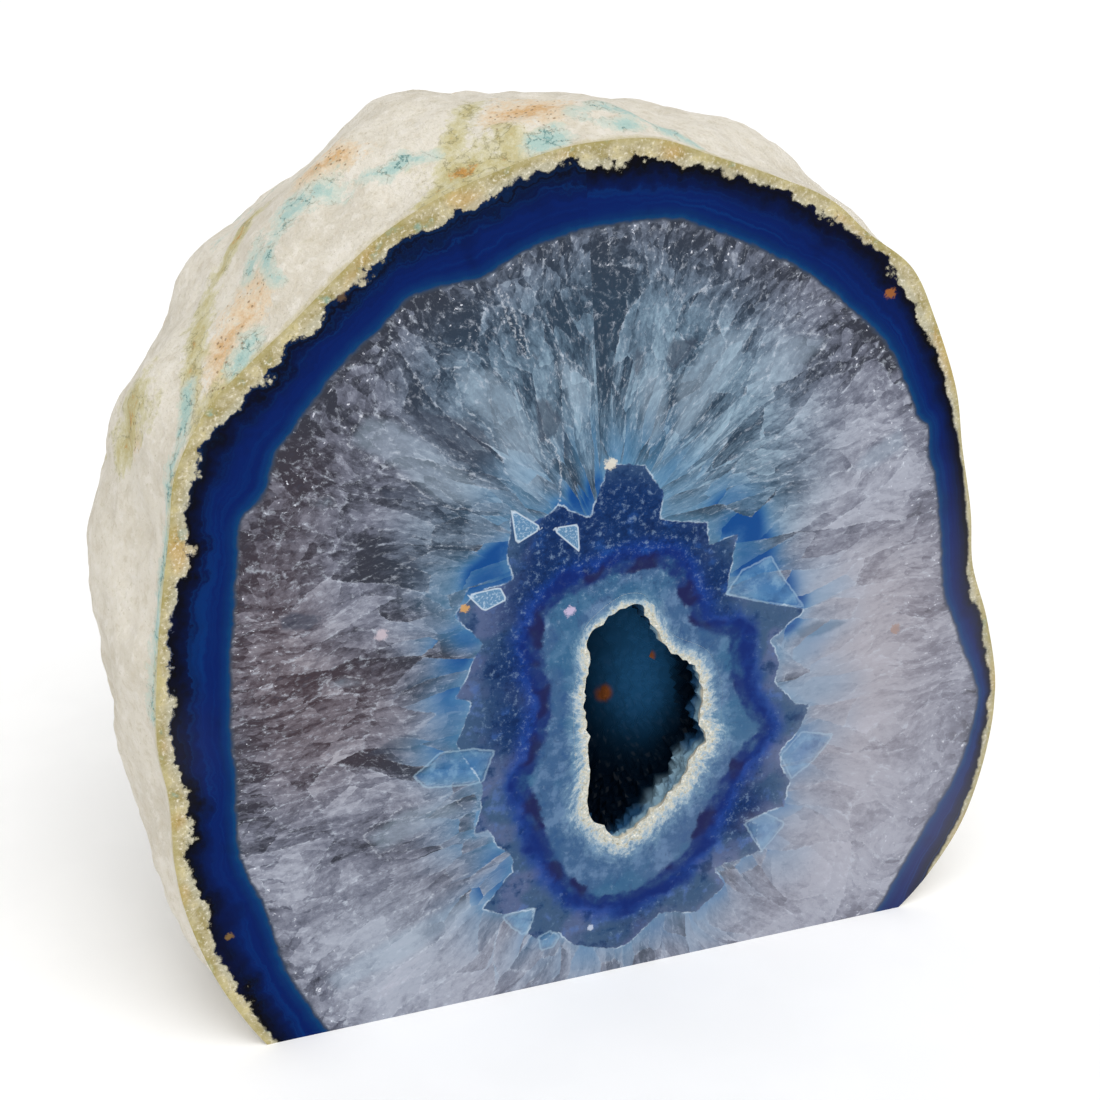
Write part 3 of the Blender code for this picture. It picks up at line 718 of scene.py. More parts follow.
def ramp(tree, value, start, full, low=0.0, high=1.0, kind="LINEAR"):
    """Goes from low to high while a value goes from start to full, and stays there outside them."""
    return add(tree, "MapRange", {"Value": value, "From Min": start, "From Max": full, "To Min": low,
                                  "To Max": high}, interpolation_type=kind)


def soft_ramp(tree, value, start, full, high=1.0):
    """The same from 0, with a gentle start and end."""
    return ramp(tree, value, start, full, high=high, kind="SMOOTHSTEP")


def edge_line(tree, field, outer, inner):
    """A line where a field is nought: it shows from the outer distance and is full at the inner one."""
    return ramp(tree, calc(tree, "ABSOLUTE", field), outer, inner)


def noise(tree, place, scale, detail, roughness=0.5, out=0):
    """Cloudy noise about a half at a place: one number, or three with the colour output."""
    return add(tree, "TexNoise", {"Vector": place, "Scale": scale, "Detail": detail,
                                  "Roughness": roughness}, out=out)


def cells(tree, place, scale):
    """Distance from the nearest of scattered points, whose spacing is 1 over the scale."""
    return add(tree, "TexVoronoi", {"Vector": place, "Scale": scale, "Randomness": 1.0}, out="Distance")


def new_material(name):
    """An empty node material with its output."""
    material = bpy.data.materials.new(name)
    material.use_nodes = True
    material.node_tree.nodes.clear()
    return material, material.node_tree


def finished(material, inputs):
    """A material with a shader of some inputs."""
    tree = material.node_tree
    add(tree, "OutputMaterial", {"Surface": add(tree, "BsdfPrincipled", inputs)})
    return material


def lay_over(tree, colour, layers):
    """Lays colours over a colour in turn. Each layer is a colour, a field, the field's values where the
    layer starts and where it is full, and its strength there."""
    for over, field, start, full, strength in layers:
        amount = soft_ramp(tree, field, start, full, high=strength)
        over = linear(over) if isinstance(over, str) else over
        colour = add(tree, "Mix", {0: amount, 6: colour, 7: over}, out=2, data_type="RGBA")
    return colour


def sheet_place(tree):
    """Where a point is, in millimetres from the sheet's origin."""
    place = add(tree, "TexCoord", out="Object")
    shift = tuple(float(part) for part in -sheet_to_frame())
    return vector(tree, "MULTIPLY_ADD", place, (1 / MM, 1 / MM, 1 / MM), shift)


def fields_of(tree, name):
    """A field that the mesh carries: all of it, then its three numbers."""
    whole = add(tree, "Attribute", out="Vector", attribute_name=name)
    return whole, *add(tree, "SeparateXYZ", (whole,)).node.outputs


def wobbled(tree, field, place, grain, size, detail=4.0, roughness=0.6):
    """A field with noise of a grain and a size in millimetres added to it."""
    cloud = noise(tree, place, 1 / grain, detail, roughness)
    shift = calc(tree, "MULTIPLY_ADD", cloud, size, -0.5 * size)
    return calc(tree, "ADD", field, shift)


def straight_lines(tree, place, lines):
    """Distance from a place on the sheet to the nearest of some lines of straight stretches."""
    nearest = 99.0
    for line in lines:
        for (x0, z0), (x1, z1) in zip(line, line[1:]):
            length = math.dist((x0, z0), (x1, z1))
            heading = ((x1 - x0) / length, 0, (z1 - z0) / length)
            away = vector(tree, "SUBTRACT", place, (x0, 0, z0))
            along = measure(tree, "DOT_PRODUCT", away, heading)
            along = add(tree, "Clamp", {"Value": along, "Min": 0.0, "Max": length})
            foot = add(tree, "VectorMath", {0: heading, "Scale": along}, operation="SCALE")
            away = measure(tree, "DISTANCE", away, foot)
            nearest = calc(tree, "MINIMUM", away, nearest)
    return nearest


def blade_layer(tree, blades, width, length, seed):
    """One size of quartz blades: a tone for each blade with a slope across it, the distance from its
    edges as a share of its width, and coordinates that start and lean differently in each blade."""
    place = vector(tree, "MULTIPLY_ADD", blades, (1 / width, 1 / length, 0), (seed, seed, 0))
    look = {"Vector": place, "Scale": 1.0, "Randomness": 1.0}
    random = add(tree, "TexVoronoi", look, out="Color", voronoi_dimensions="2D")
    centre = random.node.outputs["Position"]
    edge = add(tree, "TexVoronoi", look, out="Distance", feature="DISTANCE_TO_EDGE", voronoi_dimensions="2D")
    across = vector(tree, "SUBTRACT", place, centre)
    lean = vector(tree, "SUBTRACT", random, HALVES)
    slope = measure(tree, "DOT_PRODUCT", across, lean)
    red, green, own = add(tree, "SeparateXYZ", (random,)).node.outputs
    tone = calc(tree, "MULTIPLY_ADD", slope, 1.6, own)
    # The blade's own lean shears its inside by up to a third, and its own start moves it elsewhere
    deeper = add(tree, "SeparateXYZ", (across,), out=1)
    lean = calc(tree, "MULTIPLY_ADD", red, 0.66 * length, -0.33 * length)
    sheared = calc(tree, "MULTIPLY_ADD", deeper, lean, product(tree, green, 90.0))
    within = vector(tree, "ADD", blades, add(tree, "CombineXYZ", (sheared, 0.0, 0.0)))
    return tone, edge, within


def quartz_tint(tree, settings, tone, crumbs, warm):
    """From dark clear quartz to frosted quartz by a tone, each brown-grey where it is warm and teal-grey
    where it is cold, with pale and dark crumbs."""
    dark, middle, light = (
        lay_over(tree, base, [(brown, warm, 0.0, 1.0, most), (teal, warm, 0.0, -0.8, 0.9)])
        for base, brown, teal, most in ((settings.quartz_dark, "#43363b", "#2a3d4f", 0.9),
                                        (linear("#6b6e7d"), "#6f666c", "#5b7386", 0.9),
                                        (settings.quartz_light, "#a29b9f", "#8ea9bb", 0.8)))
    return lay_over(tree, dark, [
        (middle, tone, -0.35, 0.35, 1.0),
        (light, tone, 0.15, 1.0, 1.0),
        ("#c4c3cf", tone, 0.95, 1.8, 0.55),
        ("#c1c8d5", crumbs, 0.53, 0.70, 0.50),
        ("#3f4452", crumbs, 0.46, 0.33, 0.34),
    ])


def lay_dye(tree, settings, colour, coarse, dye, front):
    """Dye that soaked into the quartz from the hollow, stronger in some blades."""
    soaked = product(tree, calc(tree, "MULTIPLY_ADD", coarse, 0.9, 0.5), dye,
                     ramp(tree, front, -11.0, -1.0), settings.dye_strength)
    hue = product(tree, ramp(tree, front, -10.0, -0.5), calc(tree, "MULTIPLY_ADD", coarse, 0.6, 0.4))
    return lay_over(tree, colour, [
        ("#5887a8", hue, 0.0, 0.9, 0.55),
        ("#326f9f", soaked, 0.05, 0.9, 0.8),
        ("#0a4182", soaked, 0.36, 1.05, 0.94),
    ])


def lay_glints(tree, colour, bent, grain, by_band):
    """Glints of single grains by the band."""
    spots = add(tree, "TexVoronoi", {"Vector": bent, "Scale": 1.3, "Randomness": 1.0}, out="Distance",
                voronoi_dimensions="2D")
    glints = product(tree, calc(tree, "LESS_THAN", spots, 0.13), calc(tree, "GREATER_THAN", grain, 0.57),
                     by_band)
    return lay_over(tree, colour, [("#dfe2ec", glints, 0.0, 1.0, 0.8)])


def quartz(tree, settings, blades, place, shiver, band, front, tints, dark_shard, pale_shard):
    """Polished quartz: fans of blades that point at the hollow, coarse inside and fine by the band, with
    white veils and seams, sparkling grains near the band, brown-grey to teal-grey to lilac in colour. Its
    tone is a sum of the sizes of blade, veils, grain, streaks and pale patches, each with a weight."""
    pale, warm, dye = tints
    bend = vector(tree, "SUBTRACT", noise(tree, place, 0.07, 1.0, out="Color"), HALVES)
    bent = vector(tree, "MULTIPLY_ADD", bend, (5, 4, 0), blades)
    bent = vector(tree, "MULTIPLY_ADD", shiver, (0.4, 1.0, 0), bent)
    wide, wide_edge, in_wide = blade_layer(tree, bent, *WIDE_BLADES, 3.1)
    coarse, coarse_edge, in_coarse = blade_layer(tree, in_wide, settings.blade_width / MM,
                                                 settings.blade_length / MM, 5.3)
    middle, middle_edge, _ = blade_layer(tree, in_coarse, *MIDDLE_BLADES, 7.7)
    small = blade_layer(tree, bent, *SMALL_BLADES, 1.9)[0]
    by_band = soft_ramp(tree, band, 12.0, 1.0)
    veils = noise(tree, vector(tree, "MULTIPLY", in_wide, (0.28, 0.13, 0)), 1.0, 5.0, 0.6)
    crumb_place = vector(tree, "MULTIPLY_ADD", bent, (1.5, 0.62, 0), (7, 3, 0))
    crumbs = noise(tree, crumb_place, 1.0, 5.0, 0.76)
    streak_place = vector(tree, "MULTIPLY_ADD", bent, (0.62, 0.075, 0), (31, 17, 0))
    streaks = noise(tree, streak_place, 1.0, 4.0, 0.6)
    grain = noise(tree, vector(tree, "MULTIPLY", bent, (1.7, 0.8, 0)), 1.0, 5.0, 0.77)
    tone = add(tree, "Mix", {0: by_band, 2: coarse, 3: small}, data_type="FLOAT")
    tone = calc(tree, "MULTIPLY_ADD", tone, 0.38, -2.335)
    for layer, weight in ((wide, 0.38), (middle, 0.32), (veils, 1.35), (grain, 1.55), (streaks, 1.10),
                          (pale, 0.60), (by_band, -0.12)):
        tone = calc(tree, "MULTIPLY_ADD", layer, weight, tone)
    # Pale patches are calmer: there the tone and the crumbs stay nearer to their middles
    calm = ramp(tree, pale, 0.0, 0.8, low=1.0, high=0.8)
    tone, crumbs = (calc(tree, "MULTIPLY_ADD", calc(tree, "ADD", layer, -centre), calm, centre)
                    for layer, centre in ((tone, 0.85), (crumbs, 0.5)))
    colour = quartz_tint(tree, settings, tone, crumbs, warm)
    # Single blades that stand out, dark clear ones and frosted ones with bright edges, then pale seams
    # between blades, broken up by the grain
    pale_edge = product(tree, edge_line(tree, pale_shard, 0.22, 0.04), ramp(tree, grain, 0.46, 0.60))
    seams = 0.0
    for edge, width, strength in ((wide_edge, 0.03, 1.0), (coarse_edge, 0.045, 0.8),
                                  (middle_edge, 0.07, 0.5)):
        seams = calc(tree, "MULTIPLY_ADD", ramp(tree, edge, width, 0.0), strength, seams)
    seams = product(tree, seams, ramp(tree, grain, 0.47, 0.62))
    colour = lay_over(tree, colour, [
        ("#9fb1c1", pale_shard, -0.1, 1.2, 0.30),
        ("#d3dae3", pale_edge, 0.0, 1.0, 0.32),
        ("#3a4150", dark_shard, -0.1, 0.5, 0.62),
        ("#c3cbd7", seams, 0.0, 1.0, 0.45),
    ])
    colour = lay_dye(tree, settings, colour, coarse, dye, front)
    return lay_glints(tree, colour, bent, grain, by_band)


def band_colour(tree, settings, place, rim, band, blades):
    """Dyed chalcedony: black at the moss, navy, then a clearer blue, in faint parallel bands."""
    share = calc(tree, "SUBTRACT", rim, band)
    share = calc(tree, "DIVIDE", rim, share)
    split = add(tree, "SeparateXYZ", (blades,)).node
    level = add(tree, "CombineXYZ", (split.outputs[0], split.outputs[1], share))
    deep = product(tree, share, 6.0)
    level = vector(tree, "MULTIPLY", level, (0.03, 0.03, 9.0))
    bands = noise(tree, level, 1.0, 4.0, 0.6)
    cloud = noise(tree, place, 0.13, 3.0, 0.5)
    return lay_over(tree, linear("#020208"), [
        ("#000d34", deep, 0.3, 1.8, 1.0),
        (settings.band_blue, deep, 1.2, 3.4, 1.0),
        ("#003a78", bands, 0.50, 0.74, 0.45),
        ("#000f3e", bands, 0.47, 0.28, 0.3),
        ("#000b38", cloud, 0.54, 0.70, 0.6),
        ("#04366a", band, -2.0, -0.9, 0.45),
        ("#0c4a70", band, -1.0, -0.5, 0.35),
        ("#3d434c", band, -0.5, -0.1, 0.8),
    ])


def rind_cut_colour(tree, place, outer, rim):
    """The rind where the saw cut it: olive by the outside, cream and grey moss by the band."""
    cloud = noise(tree, place, 0.28, 5.0, 0.6)
    speck = noise(tree, place, 2.2, 4.0, 0.7)
    broad = noise(tree, place, 0.11, 2.0, 0.5)
    outer = wobbled(tree, outer, place, 3.0, 2.2, detail=4.0, roughness=0.7)
    return lay_over(tree, linear("#b5ab8b"), [
        ("#978a55", cloud, 0.46, 0.6, 0.85),
        ("#c9bd90", cloud, 0.50, 0.38, 0.8),
        ("#c09a58", broad, 0.54, 0.66, 0.55),
        ("#7fa79f", cloud, 0.58, 0.70, 0.7),
        ("#b3b19f", rim, -1.1, -0.2, 0.6),
        ("#eae4d2", speck, 0.52, 0.66, 0.75),
        ("#6a6038", speck, 0.45, 0.30, 0.75),
        ("#a89c62", outer, 0.9, 0.1, 0.5),
    ])


def hollow_zone_colour(tree, place, ring, around, royal, painted_reflection):
    """Between the crystal front and the hollow: dyed drusy quartz outside a purple-blue ring, and cloudy
    grey-blue with faint fibres inside it."""
    fibres = noise(tree, vector(tree, "MULTIPLY", around, (2.6, 2.6, 0.5)), 1.0, 5.0, 0.7)
    speckle = noise(tree, place, 1.0, 5.0, 0.8)
    crisp = ramp(tree, royal, 0.1, 0.7, low=0.55, high=1.05)
    speckle = calc(tree, "MULTIPLY_ADD", calc(tree, "ADD", speckle, -0.5), crisp, 0.5)
    cloud = noise(tree, place, 0.36, 5.0, 0.6)
    broad = noise(tree, place, 0.14, 2.0, 0.5)
    scallop = wobbled(tree, ring, place, 3.6, 3.4, detail=6.0, roughness=0.66)
    outside = lay_over(tree, linear("#3b5473"), [
        ("#566286", broad, 0.47, 0.60, 0.8),
        ("#234772", cloud, 0.50, 0.36, 0.7),
        ("#6c7fa1", cloud, 0.54, 0.68, 0.55),
        ("#072a5c", royal, 0.05, 0.70, 0.95),
        ("#123a8c", scallop, 3.4, 1.0, 0.75),
        ("#1d509a", cloud, 0.54, 0.68, 0.4),
        ("#0a1d45", cloud, 0.46, 0.34, 0.5),
        ("#8ba6c4", speckle, 0.52, 0.66, 0.42),
        ("#06183c", speckle, 0.48, 0.38, 0.45),
    ])
    inside = lay_over(tree, linear("#3c5c82"), [
        ("#5d7a9c", cloud, 0.48, 0.62, 0.85),
        ("#2c4f7c", cloud, 0.47, 0.34, 0.7),
        ("#2f6384", broad, 0.50, 0.38, 0.5),
        ("#33486f", fibres, 0.46, 0.32, 0.35),
        # Painted reflection: a paler veil painted over the middle, where the polish would mirror the bright
        # room
        ("#787f9a", painted_reflection, 0.3, 1.0, 0.35),
        ("#9db6cc", speckle, 0.52, 0.66, 0.40),
        ("#1e355c", speckle, 0.48, 0.37, 0.5),
    ])
    colour = lay_over(tree, inside, [(outside, scallop, -0.5, 0.5, 1.0)])
    # The ring is crisp toward the hollow and fades outward, wider in some places than in others
    width = calc(tree, "MULTIPLY_ADD", broad, -7.0, 4.4)
    outward = soft_ramp(tree, calc(tree, "SUBTRACT", scallop, width), 1.4, -0.9)
    shape = product(tree, soft_ramp(tree, scallop, -1.9, -0.9), outward)
    dark = product(tree, shape, ramp(tree, cloud, 0.36, 0.60, low=0.4))
    deep = product(tree, ramp(tree, broad, 0.47, 0.56), shape)
    return lay_over(tree, colour, [("#0b2162", dark, 0.0, 1.0, 0.9), ("#1b163f", deep, 0.15, 0.9, 0.7)])


def moss_line(tree, settings, place, outer, rim):
    """Distance from the ragged line between the cut rind and the band: rounded lobes of moss in two sizes,
    each of which reaches in as far as its centre is near."""
    tufts = calc(tree, "MULTIPLY_ADD", cells(tree, place, 0.38), 2.2, -settings.moss_reach / MM)
    tufts = calc(tree, "MULTIPLY_ADD", cells(tree, place, 1.15), 1.0, tufts)
    tufts = wobbled(tree, tufts, place, 0.45, 1.8, detail=4.0, roughness=0.85)
    reach = ramp(tree, calc(tree, "SUBTRACT", outer, rim), 0.4, 2.3, low=0.12)
    return calc(tree, "MULTIPLY_ADD", tufts, reach, rim)


def lay_blue_crystals(tree, colour, crystal, uneven):
    """Single glassy blue crystals at the crystal front, with a painted glint in pale patches and painted
    shade in dark ones, with pale edges.
    """
    inner = product(tree, crystal, uneven)
    inside = ramp(tree, crystal, -0.05, 0.25)
    # Painted glint and painted shade: pale and dark patches by noise over the flat crystals
    frosted = product(tree, ramp(tree, uneven, 0.50, 0.64), inside)
    clear = product(tree, ramp(tree, uneven, 0.50, 0.36), inside)
    return lay_over(tree, colour, [
        ("#5c8db3", crystal, -0.2, 0.6, 0.5),
        ("#1f5f9a", inner, 0.1, 1.1, 0.5),
        ("#8fb3cb", frosted, 0.0, 1.0, 0.35),
        ("#1a4a7c", clear, 0.0, 1.0, 0.5),
        ("#a9c6da", edge_line(tree, crystal, 0.2, 0.03), 0.0, 1.0, 0.35),
    ])


def lay_crystal_tips(tree, colour, front_edge, chip, uneven, frost):
    """The tips of the quartz points, glassy blue for two millimetres behind their edges, the loose
    crystals, and white outlines of both, those of the tips broken up along their length."""
    tips = product(tree, ramp(tree, front_edge, -2.4, -0.2), calc(tree, "LESS_THAN", front_edge, 0.0),
                   uneven)
    line = product(tree, edge_line(tree, front_edge, 0.17, 0.03), ramp(tree, uneven, 0.42, 0.60))
    frosted_chip = product(tree, frost, calc(tree, "GREATER_THAN", chip, 0.0))
    return lay_over(tree, colour, [
        ("#5a8fb4", tips, 0.2, 0.62, 0.25),
        ("#5f88ab", chip, -0.05, 0.05, 0.85),
        ("#b9cddd", frosted_chip, 0.5, 0.62, 0.6),
        ("#b4c6d6", line, 0.0, 1.0, 0.75),
        ("#c3d1dd", edge_line(tree, chip, 0.15, 0.03), 0.0, 1.0, 0.75),
    ])


def lay_marks(tree, colour, place, shiver, frost, crumbly):
    """Single bright cracks and crystal edges, then small coloured flecks."""
    shivered = vector(tree, "MULTIPLY_ADD", shiver, (1.4, 0, 1.4), place)
    crack = ramp(tree, straight_lines(tree, shivered, WHITE_LINES), 0.2, 0.03)
    crack = product(tree, crack, ramp(tree, frost, 0.40, 0.56))
    colour = lay_over(tree, colour, [("#cdd3dc", crack, 0.0, 1.0, 0.5)])
    for (x, z), radius, hue in FLECKS:
        away = calc(tree, "MULTIPLY_ADD", crumbly, radius, measure(tree, "DISTANCE", place, (x, 0, z)))
        colour = lay_over(tree, colour, [(hue, away, radius, 0.6 * radius, 0.85)])
    return colour


def lay_cream_crust(tree, colour, around, cream, speck, crumbly, frost):
    """Cream crust round the opening, feathered outward over a pale blue edge."""
    feather = noise(tree, vector(tree, "MULTIPLY", around, (1.2, 1.2, 0.9)), 1.0, 5.0, 0.75)
    edge = calc(tree, "ADD", calc(tree, "MULTIPLY_ADD", feather, -3.4, 1.75), cream)
    edge = calc(tree, "MULTIPLY_ADD", crumbly, 0.8, edge)
    crust = lay_over(tree, linear("#c6c4b6"), [
        ("#8b8468", speck, 0.48, 0.38, 0.75),
        ("#f3f0e8", speck, 0.52, 0.63, 0.9),
        ("#86a3b5", frost, 0.49, 0.40, 0.6),
    ])
    return lay_over(tree, colour, [
        ("#87a8bc", edge, 2.9, 1.2, 0.5),
        ("#c4cfd2", edge, 1.8, 1.0, 0.6),
        (crust, edge, 1.25, 0.8, 1.0),
    ])


def agate_face(settings):
    """Dyed agate, sawn and polished to a gloss: dark blue chalcedony, grey quartz blades and a blue
    drusy middle under one clear shine, matt only where the saw cut the rind."""
    material, tree = new_material("polished dyed agate")
    place = sheet_place(tree)
    _, rim, band, front = fields_of(tree, "edges")
    _, ring, cream, chip = fields_of(tree, "rings")
    blades = blade_space(tree, place)
    around = fields_of(tree, "around")[0]
    tints = fields_of(tree, "tints")[1:]
    _, royal, painted_reflection, outer = fields_of(tree, "depths")
    _, dark_shard, pale_shard, crystal = fields_of(tree, "marks")

    # Noise that several parts share
    ragged = wobbled(tree, 0.0, place, 1.15, 1.0, detail=5.0, roughness=0.66)
    shiver = vector(tree, "SUBTRACT", noise(tree, place, 1.0, 2.0, 0.7, out="Color"), HALVES)
    uneven = noise(tree, place, 0.38, 4.0, 0.65)
    frost = noise(tree, place, 3.2, 3.0, 0.7)
    speck = noise(tree, place, 1.7, 5.0, 0.82)
    crumbly = calc(tree, "MULTIPLY_ADD", speck, 2.6, -1.3)
    tufts = moss_line(tree, settings, place, outer, rim)
    band_edge = wobbled(tree, band, place, 2.2, 1.1)
    dark_shard, pale_shard, crystal, front_edge = (
        calc(tree, "MULTIPLY_ADD", ragged, size, field)
        for field, size in ((dark_shard, 0.9), (pale_shard, 0.9), (crystal, 0.7), (front, 1.1)))

    # The four zones from the rind inward, then what lies on them
    dyed = band_colour(tree, settings, place, tufts, band_edge, blades)
    stone = quartz(tree, settings, blades, place, shiver, band, front, tints, dark_shard, pale_shard)
    middle = hollow_zone_colour(tree, place, ring, around, royal, painted_reflection)
    colour = lay_over(tree, rind_cut_colour(tree, place, outer, rim), [
        (dyed, tufts, -0.2, 0.22, 1.0),
        (stone, band_edge, -0.25, 0.25, 1.0),
        (middle, front_edge, -0.12, 0.12, 1.0),
    ])
    colour = lay_blue_crystals(tree, colour, crystal, uneven)
    colour = lay_crystal_tips(tree, colour, front_edge, chip, uneven, frost)
    colour = lay_marks(tree, colour, place, shiver, frost, crumbly)
    colour = lay_cream_crust(tree, colour, around, cream, speck, crumbly, frost)

    # Painted reflection: a pale veil painted over the polish, weaker on the band and in the middle
    painted_reflection_haze = product(tree, painted_reflection, ramp(tree, band, -0.6, 1.0, low=0.5),
                   ramp(tree, front, -0.5, 2.0, low=1.0, high=0.25))
    colour = lay_over(tree, colour, [("#a09faa", painted_reflection_haze, 0.1, 1.3, 0.34)])
    roughness = ramp(tree, tufts, -0.1, 0.1, low=0.6, high=0.13)
    return finished(material, {"Base Color": colour, "Roughness": roughness, "IOR": 1.54,
                               "Specular IOR Level": 0.05})


def scattered(tree, place, behind, grain, seed):
    """A stain on the sides that the photo doesn't show: lines where a noise passes its middle, kept where a
    second noise is high and left out near the face. Small where the stain is, like the stains' fields."""
    place = vector(tree, "ADD", place, (seed, seed, seed))
    line = noise(tree, place, 1 / grain, 3.0, 0.5)
    line = calc(tree, "ABSOLUTE", calc(tree, "SUBTRACT", line, 0.5))
    gate = noise(tree, place, 0.6 / grain, 2.0, 0.5)
    gate = ramp(tree, gate, 0.63, 0.47, low=0.9, high=6.0)
    near = ramp(tree, behind, 25.0, 15.0, high=8.0)
    line = calc(tree, "MULTIPLY_ADD", line, grain, gate)
    return calc(tree, "ADD", line, near)


def rind(settings):
    """Weathered celadonite-stained crust of a geode: chalky, matt cream with turquoise veins, ochre and
    peach patches and brown pits."""
    material, tree = new_material("chalky rind")
    place = sheet_place(tree)
    stains = fields_of(tree, "stains")[1:]
    behind = fields_of(tree, "rough")[1]
    cloud = noise(tree, place, 0.09, 4.0, 0.55)
    mottle = noise(tree, place, 0.5, 7.0, 0.68)
    crumbs = noise(tree, place, 1.5, 6.0, 0.75)
    speck = noise(tree, place, 3.1, 3.0, 0.6)
    # Each stain, with its outline broken up in two sizes
    fields = []
    for stained, (grain, seed, coarse, fine) in zip(stains, STAIN_GRAINS):
        field = calc(tree, "MINIMUM", stained, scattered(tree, place, behind, grain, seed))
        field = wobbled(tree, field, place, 4.5, coarse, detail=3.0)
        fields.append(wobbled(tree, field, place, 0.9, fine, detail=6.0, roughness=0.75))
    turquoise, ochre, peach = fields
    # Hair-thin cracks run through the stained parts
    crack = edge_line(tree, calc(tree, "SUBTRACT", noise(tree, place, 0.24, 6.0, 0.62), 0.5), 0.016, 0.002)
    nearest = calc(tree, "MINIMUM", turquoise, ochre)
    crack = product(tree, crack, ramp(tree, nearest, 2.6, 0.6, low=0.12))
    vein = product(tree, ramp(tree, turquoise, 1.1, 0.3), crack)
    # Brown dots, larger in the peach stains
    dot_here = ramp(tree, peach, 2.2, 0.4, low=0.04, high=0.24)
    dots = wobbled(tree, calc(tree, "SUBTRACT", cells(tree, place, 1.25), dot_here), place, 0.4, 0.3)
    edge = wobbled(tree, behind, place, 3.0, 3.4, detail=6.0, roughness=0.7)
    colour = lay_over(tree, settings.rind_cream, [
        ("#e2dac9", cloud, 0.46, 0.62, 0.7),
        ("#fbf5ea", mottle, 0.50, 0.64, 0.7),
        ("#dfd5c0", mottle, 0.47, 0.36, 0.6),
        ("#cfc8ac", crumbs, 0.46, 0.34, 0.45),
        ("#f8f3ea", crumbs, 0.55, 0.68, 0.5),
        ("#f3dcbb", peach, 1.8, 0.8, 0.8),
        ("#e3b271", peach, 0.9, -0.4, 0.8),
        ("#ddd6aa", ochre, 2.1, 1.0, 0.8),
        ("#d0c48c", ochre, 1.1, 0.2, 0.78),
        ("#cf9340", ochre, 0.1, -0.8, 0.85),
        ("#d5e2d6", turquoise, 2.2, 1.1, 0.75),
        ("#b2d6d0", turquoise, 1.0, 0.1, 0.75),
        ("#6dabac", turquoise, -0.2, -1.0, 0.75),
        ("#cabd86", edge, 1.0, 0.0, 0.55),
        ("#94895c", crack, 0.1, 1.0, 0.55),
        ("#4f9aa2", vein, 0.1, 1.0, 0.7),
        ("#faf6ea", speck, 0.60, 0.72, 0.5),
        ("#a3926e", speck, 0.36, 0.26, 0.5),
        ("#8a6740", dots, 0.02, -0.06, 0.65),
    ])
    height = calc(tree, "ADD", mottle, crumbs)
    height = calc(tree, "MULTIPLY_ADD", crack, -0.25, height)
    bump = add(tree, "Bump", {"Height": height, "Strength": 0.7, "Distance": 0.0009})
    return finished(material, {"Base Color": colour, "Roughness": 0.85, "Normal": bump,
                               "Specular IOR Level": 0.3})


def sawn_base():
    """Agate straight off the saw: matt and cloudy grey, with the saw's arcs."""
    material, tree = new_material("sawn agate")
    place = add(tree, "TexCoord", out="Object")
    arcs = add(tree, "TexWave", {"Vector": place, "Scale": 90.0, "Distortion": 0.6, "Detail": 2.0},
               wave_type="RINGS", rings_direction="Z")
    cloud = noise(tree, place, 110.0, 5.0)
    colour = lay_over(tree, linear("#6f7488"),
                      [("#8c90a0", cloud, 0.45, 0.62, 0.8), ("#5a607a", arcs, 0.3, 0.8, 0.3)])
    bump = add(tree, "Bump", {"Height": arcs, "Strength": 0.15, "Distance": 0.0002})
    return finished(material, {"Base Color": colour, "Roughness": 0.6, "Normal": bump})


def druse_material(settings):
    """Small dyed quartz crystals: glassy flat faces, pale at the rim, ink blue deeper in and near black
    deepest in, which is their dye and painted shade of the hollow, with a faint teal glow painted on the
    back wall as colour and emission."""
    material, tree = new_material("dyed quartz druse")
    place = sheet_place(tree)
    _, depth, painted_glow, spots = fields_of(tree, "druse")
    deep = wobbled(tree, depth, place, 2.0, 1.4)
    # Painted shade: the crystals and the painted glow's colour darken with depth into the hollow, from the
    # dye's blue to near black
    painted_glow_blue = lay_over(tree, linear("#86a4b5"), [("#16476f", depth, 4.0, 10.0, 1.0)])
    colour = lay_over(tree, linear("#cfc9b6"), [
        ("#7fa3b8", deep, 0.2, 1.0, 0.95),
        ("#1d4a72", deep, 0.9, 2.6, 0.95),
        (settings.deep_dye_and_shade, deep, 2.0, 5.0, 0.99),
        (painted_glow_blue, painted_glow, 0.10, 1.0, 0.92),
        ("#8a4a12", spots, 0.3, 0.8, 0.9),
    ])
    # Painted glow: the back wall gives off teal light, rust-coloured at the rust spots, though no lamp is
    # there
    through = product(tree, ramp(tree, depth, 4.0, 10.0), painted_glow, settings.painted_glow_strength)
    painted_glow_colour = lay_over(tree, linear("#1a4262"), [("#7a4312", spots, 0.2, 0.7, 0.9)])
    return finished(material, {"Base Color": colour, "Roughness": 0.4, "IOR": 1.54,
                               "Specular IOR Level": 0.05, "Emission Color": painted_glow_colour,
                               "Emission Strength": through})


def fit_to_box(points):
    """Keeps sheet points inside the solids' own box."""
    low, high = (np.array(corner) / MM - sheet_to_frame() for corner in CAD_BOX)
    return np.clip(points, low, high)


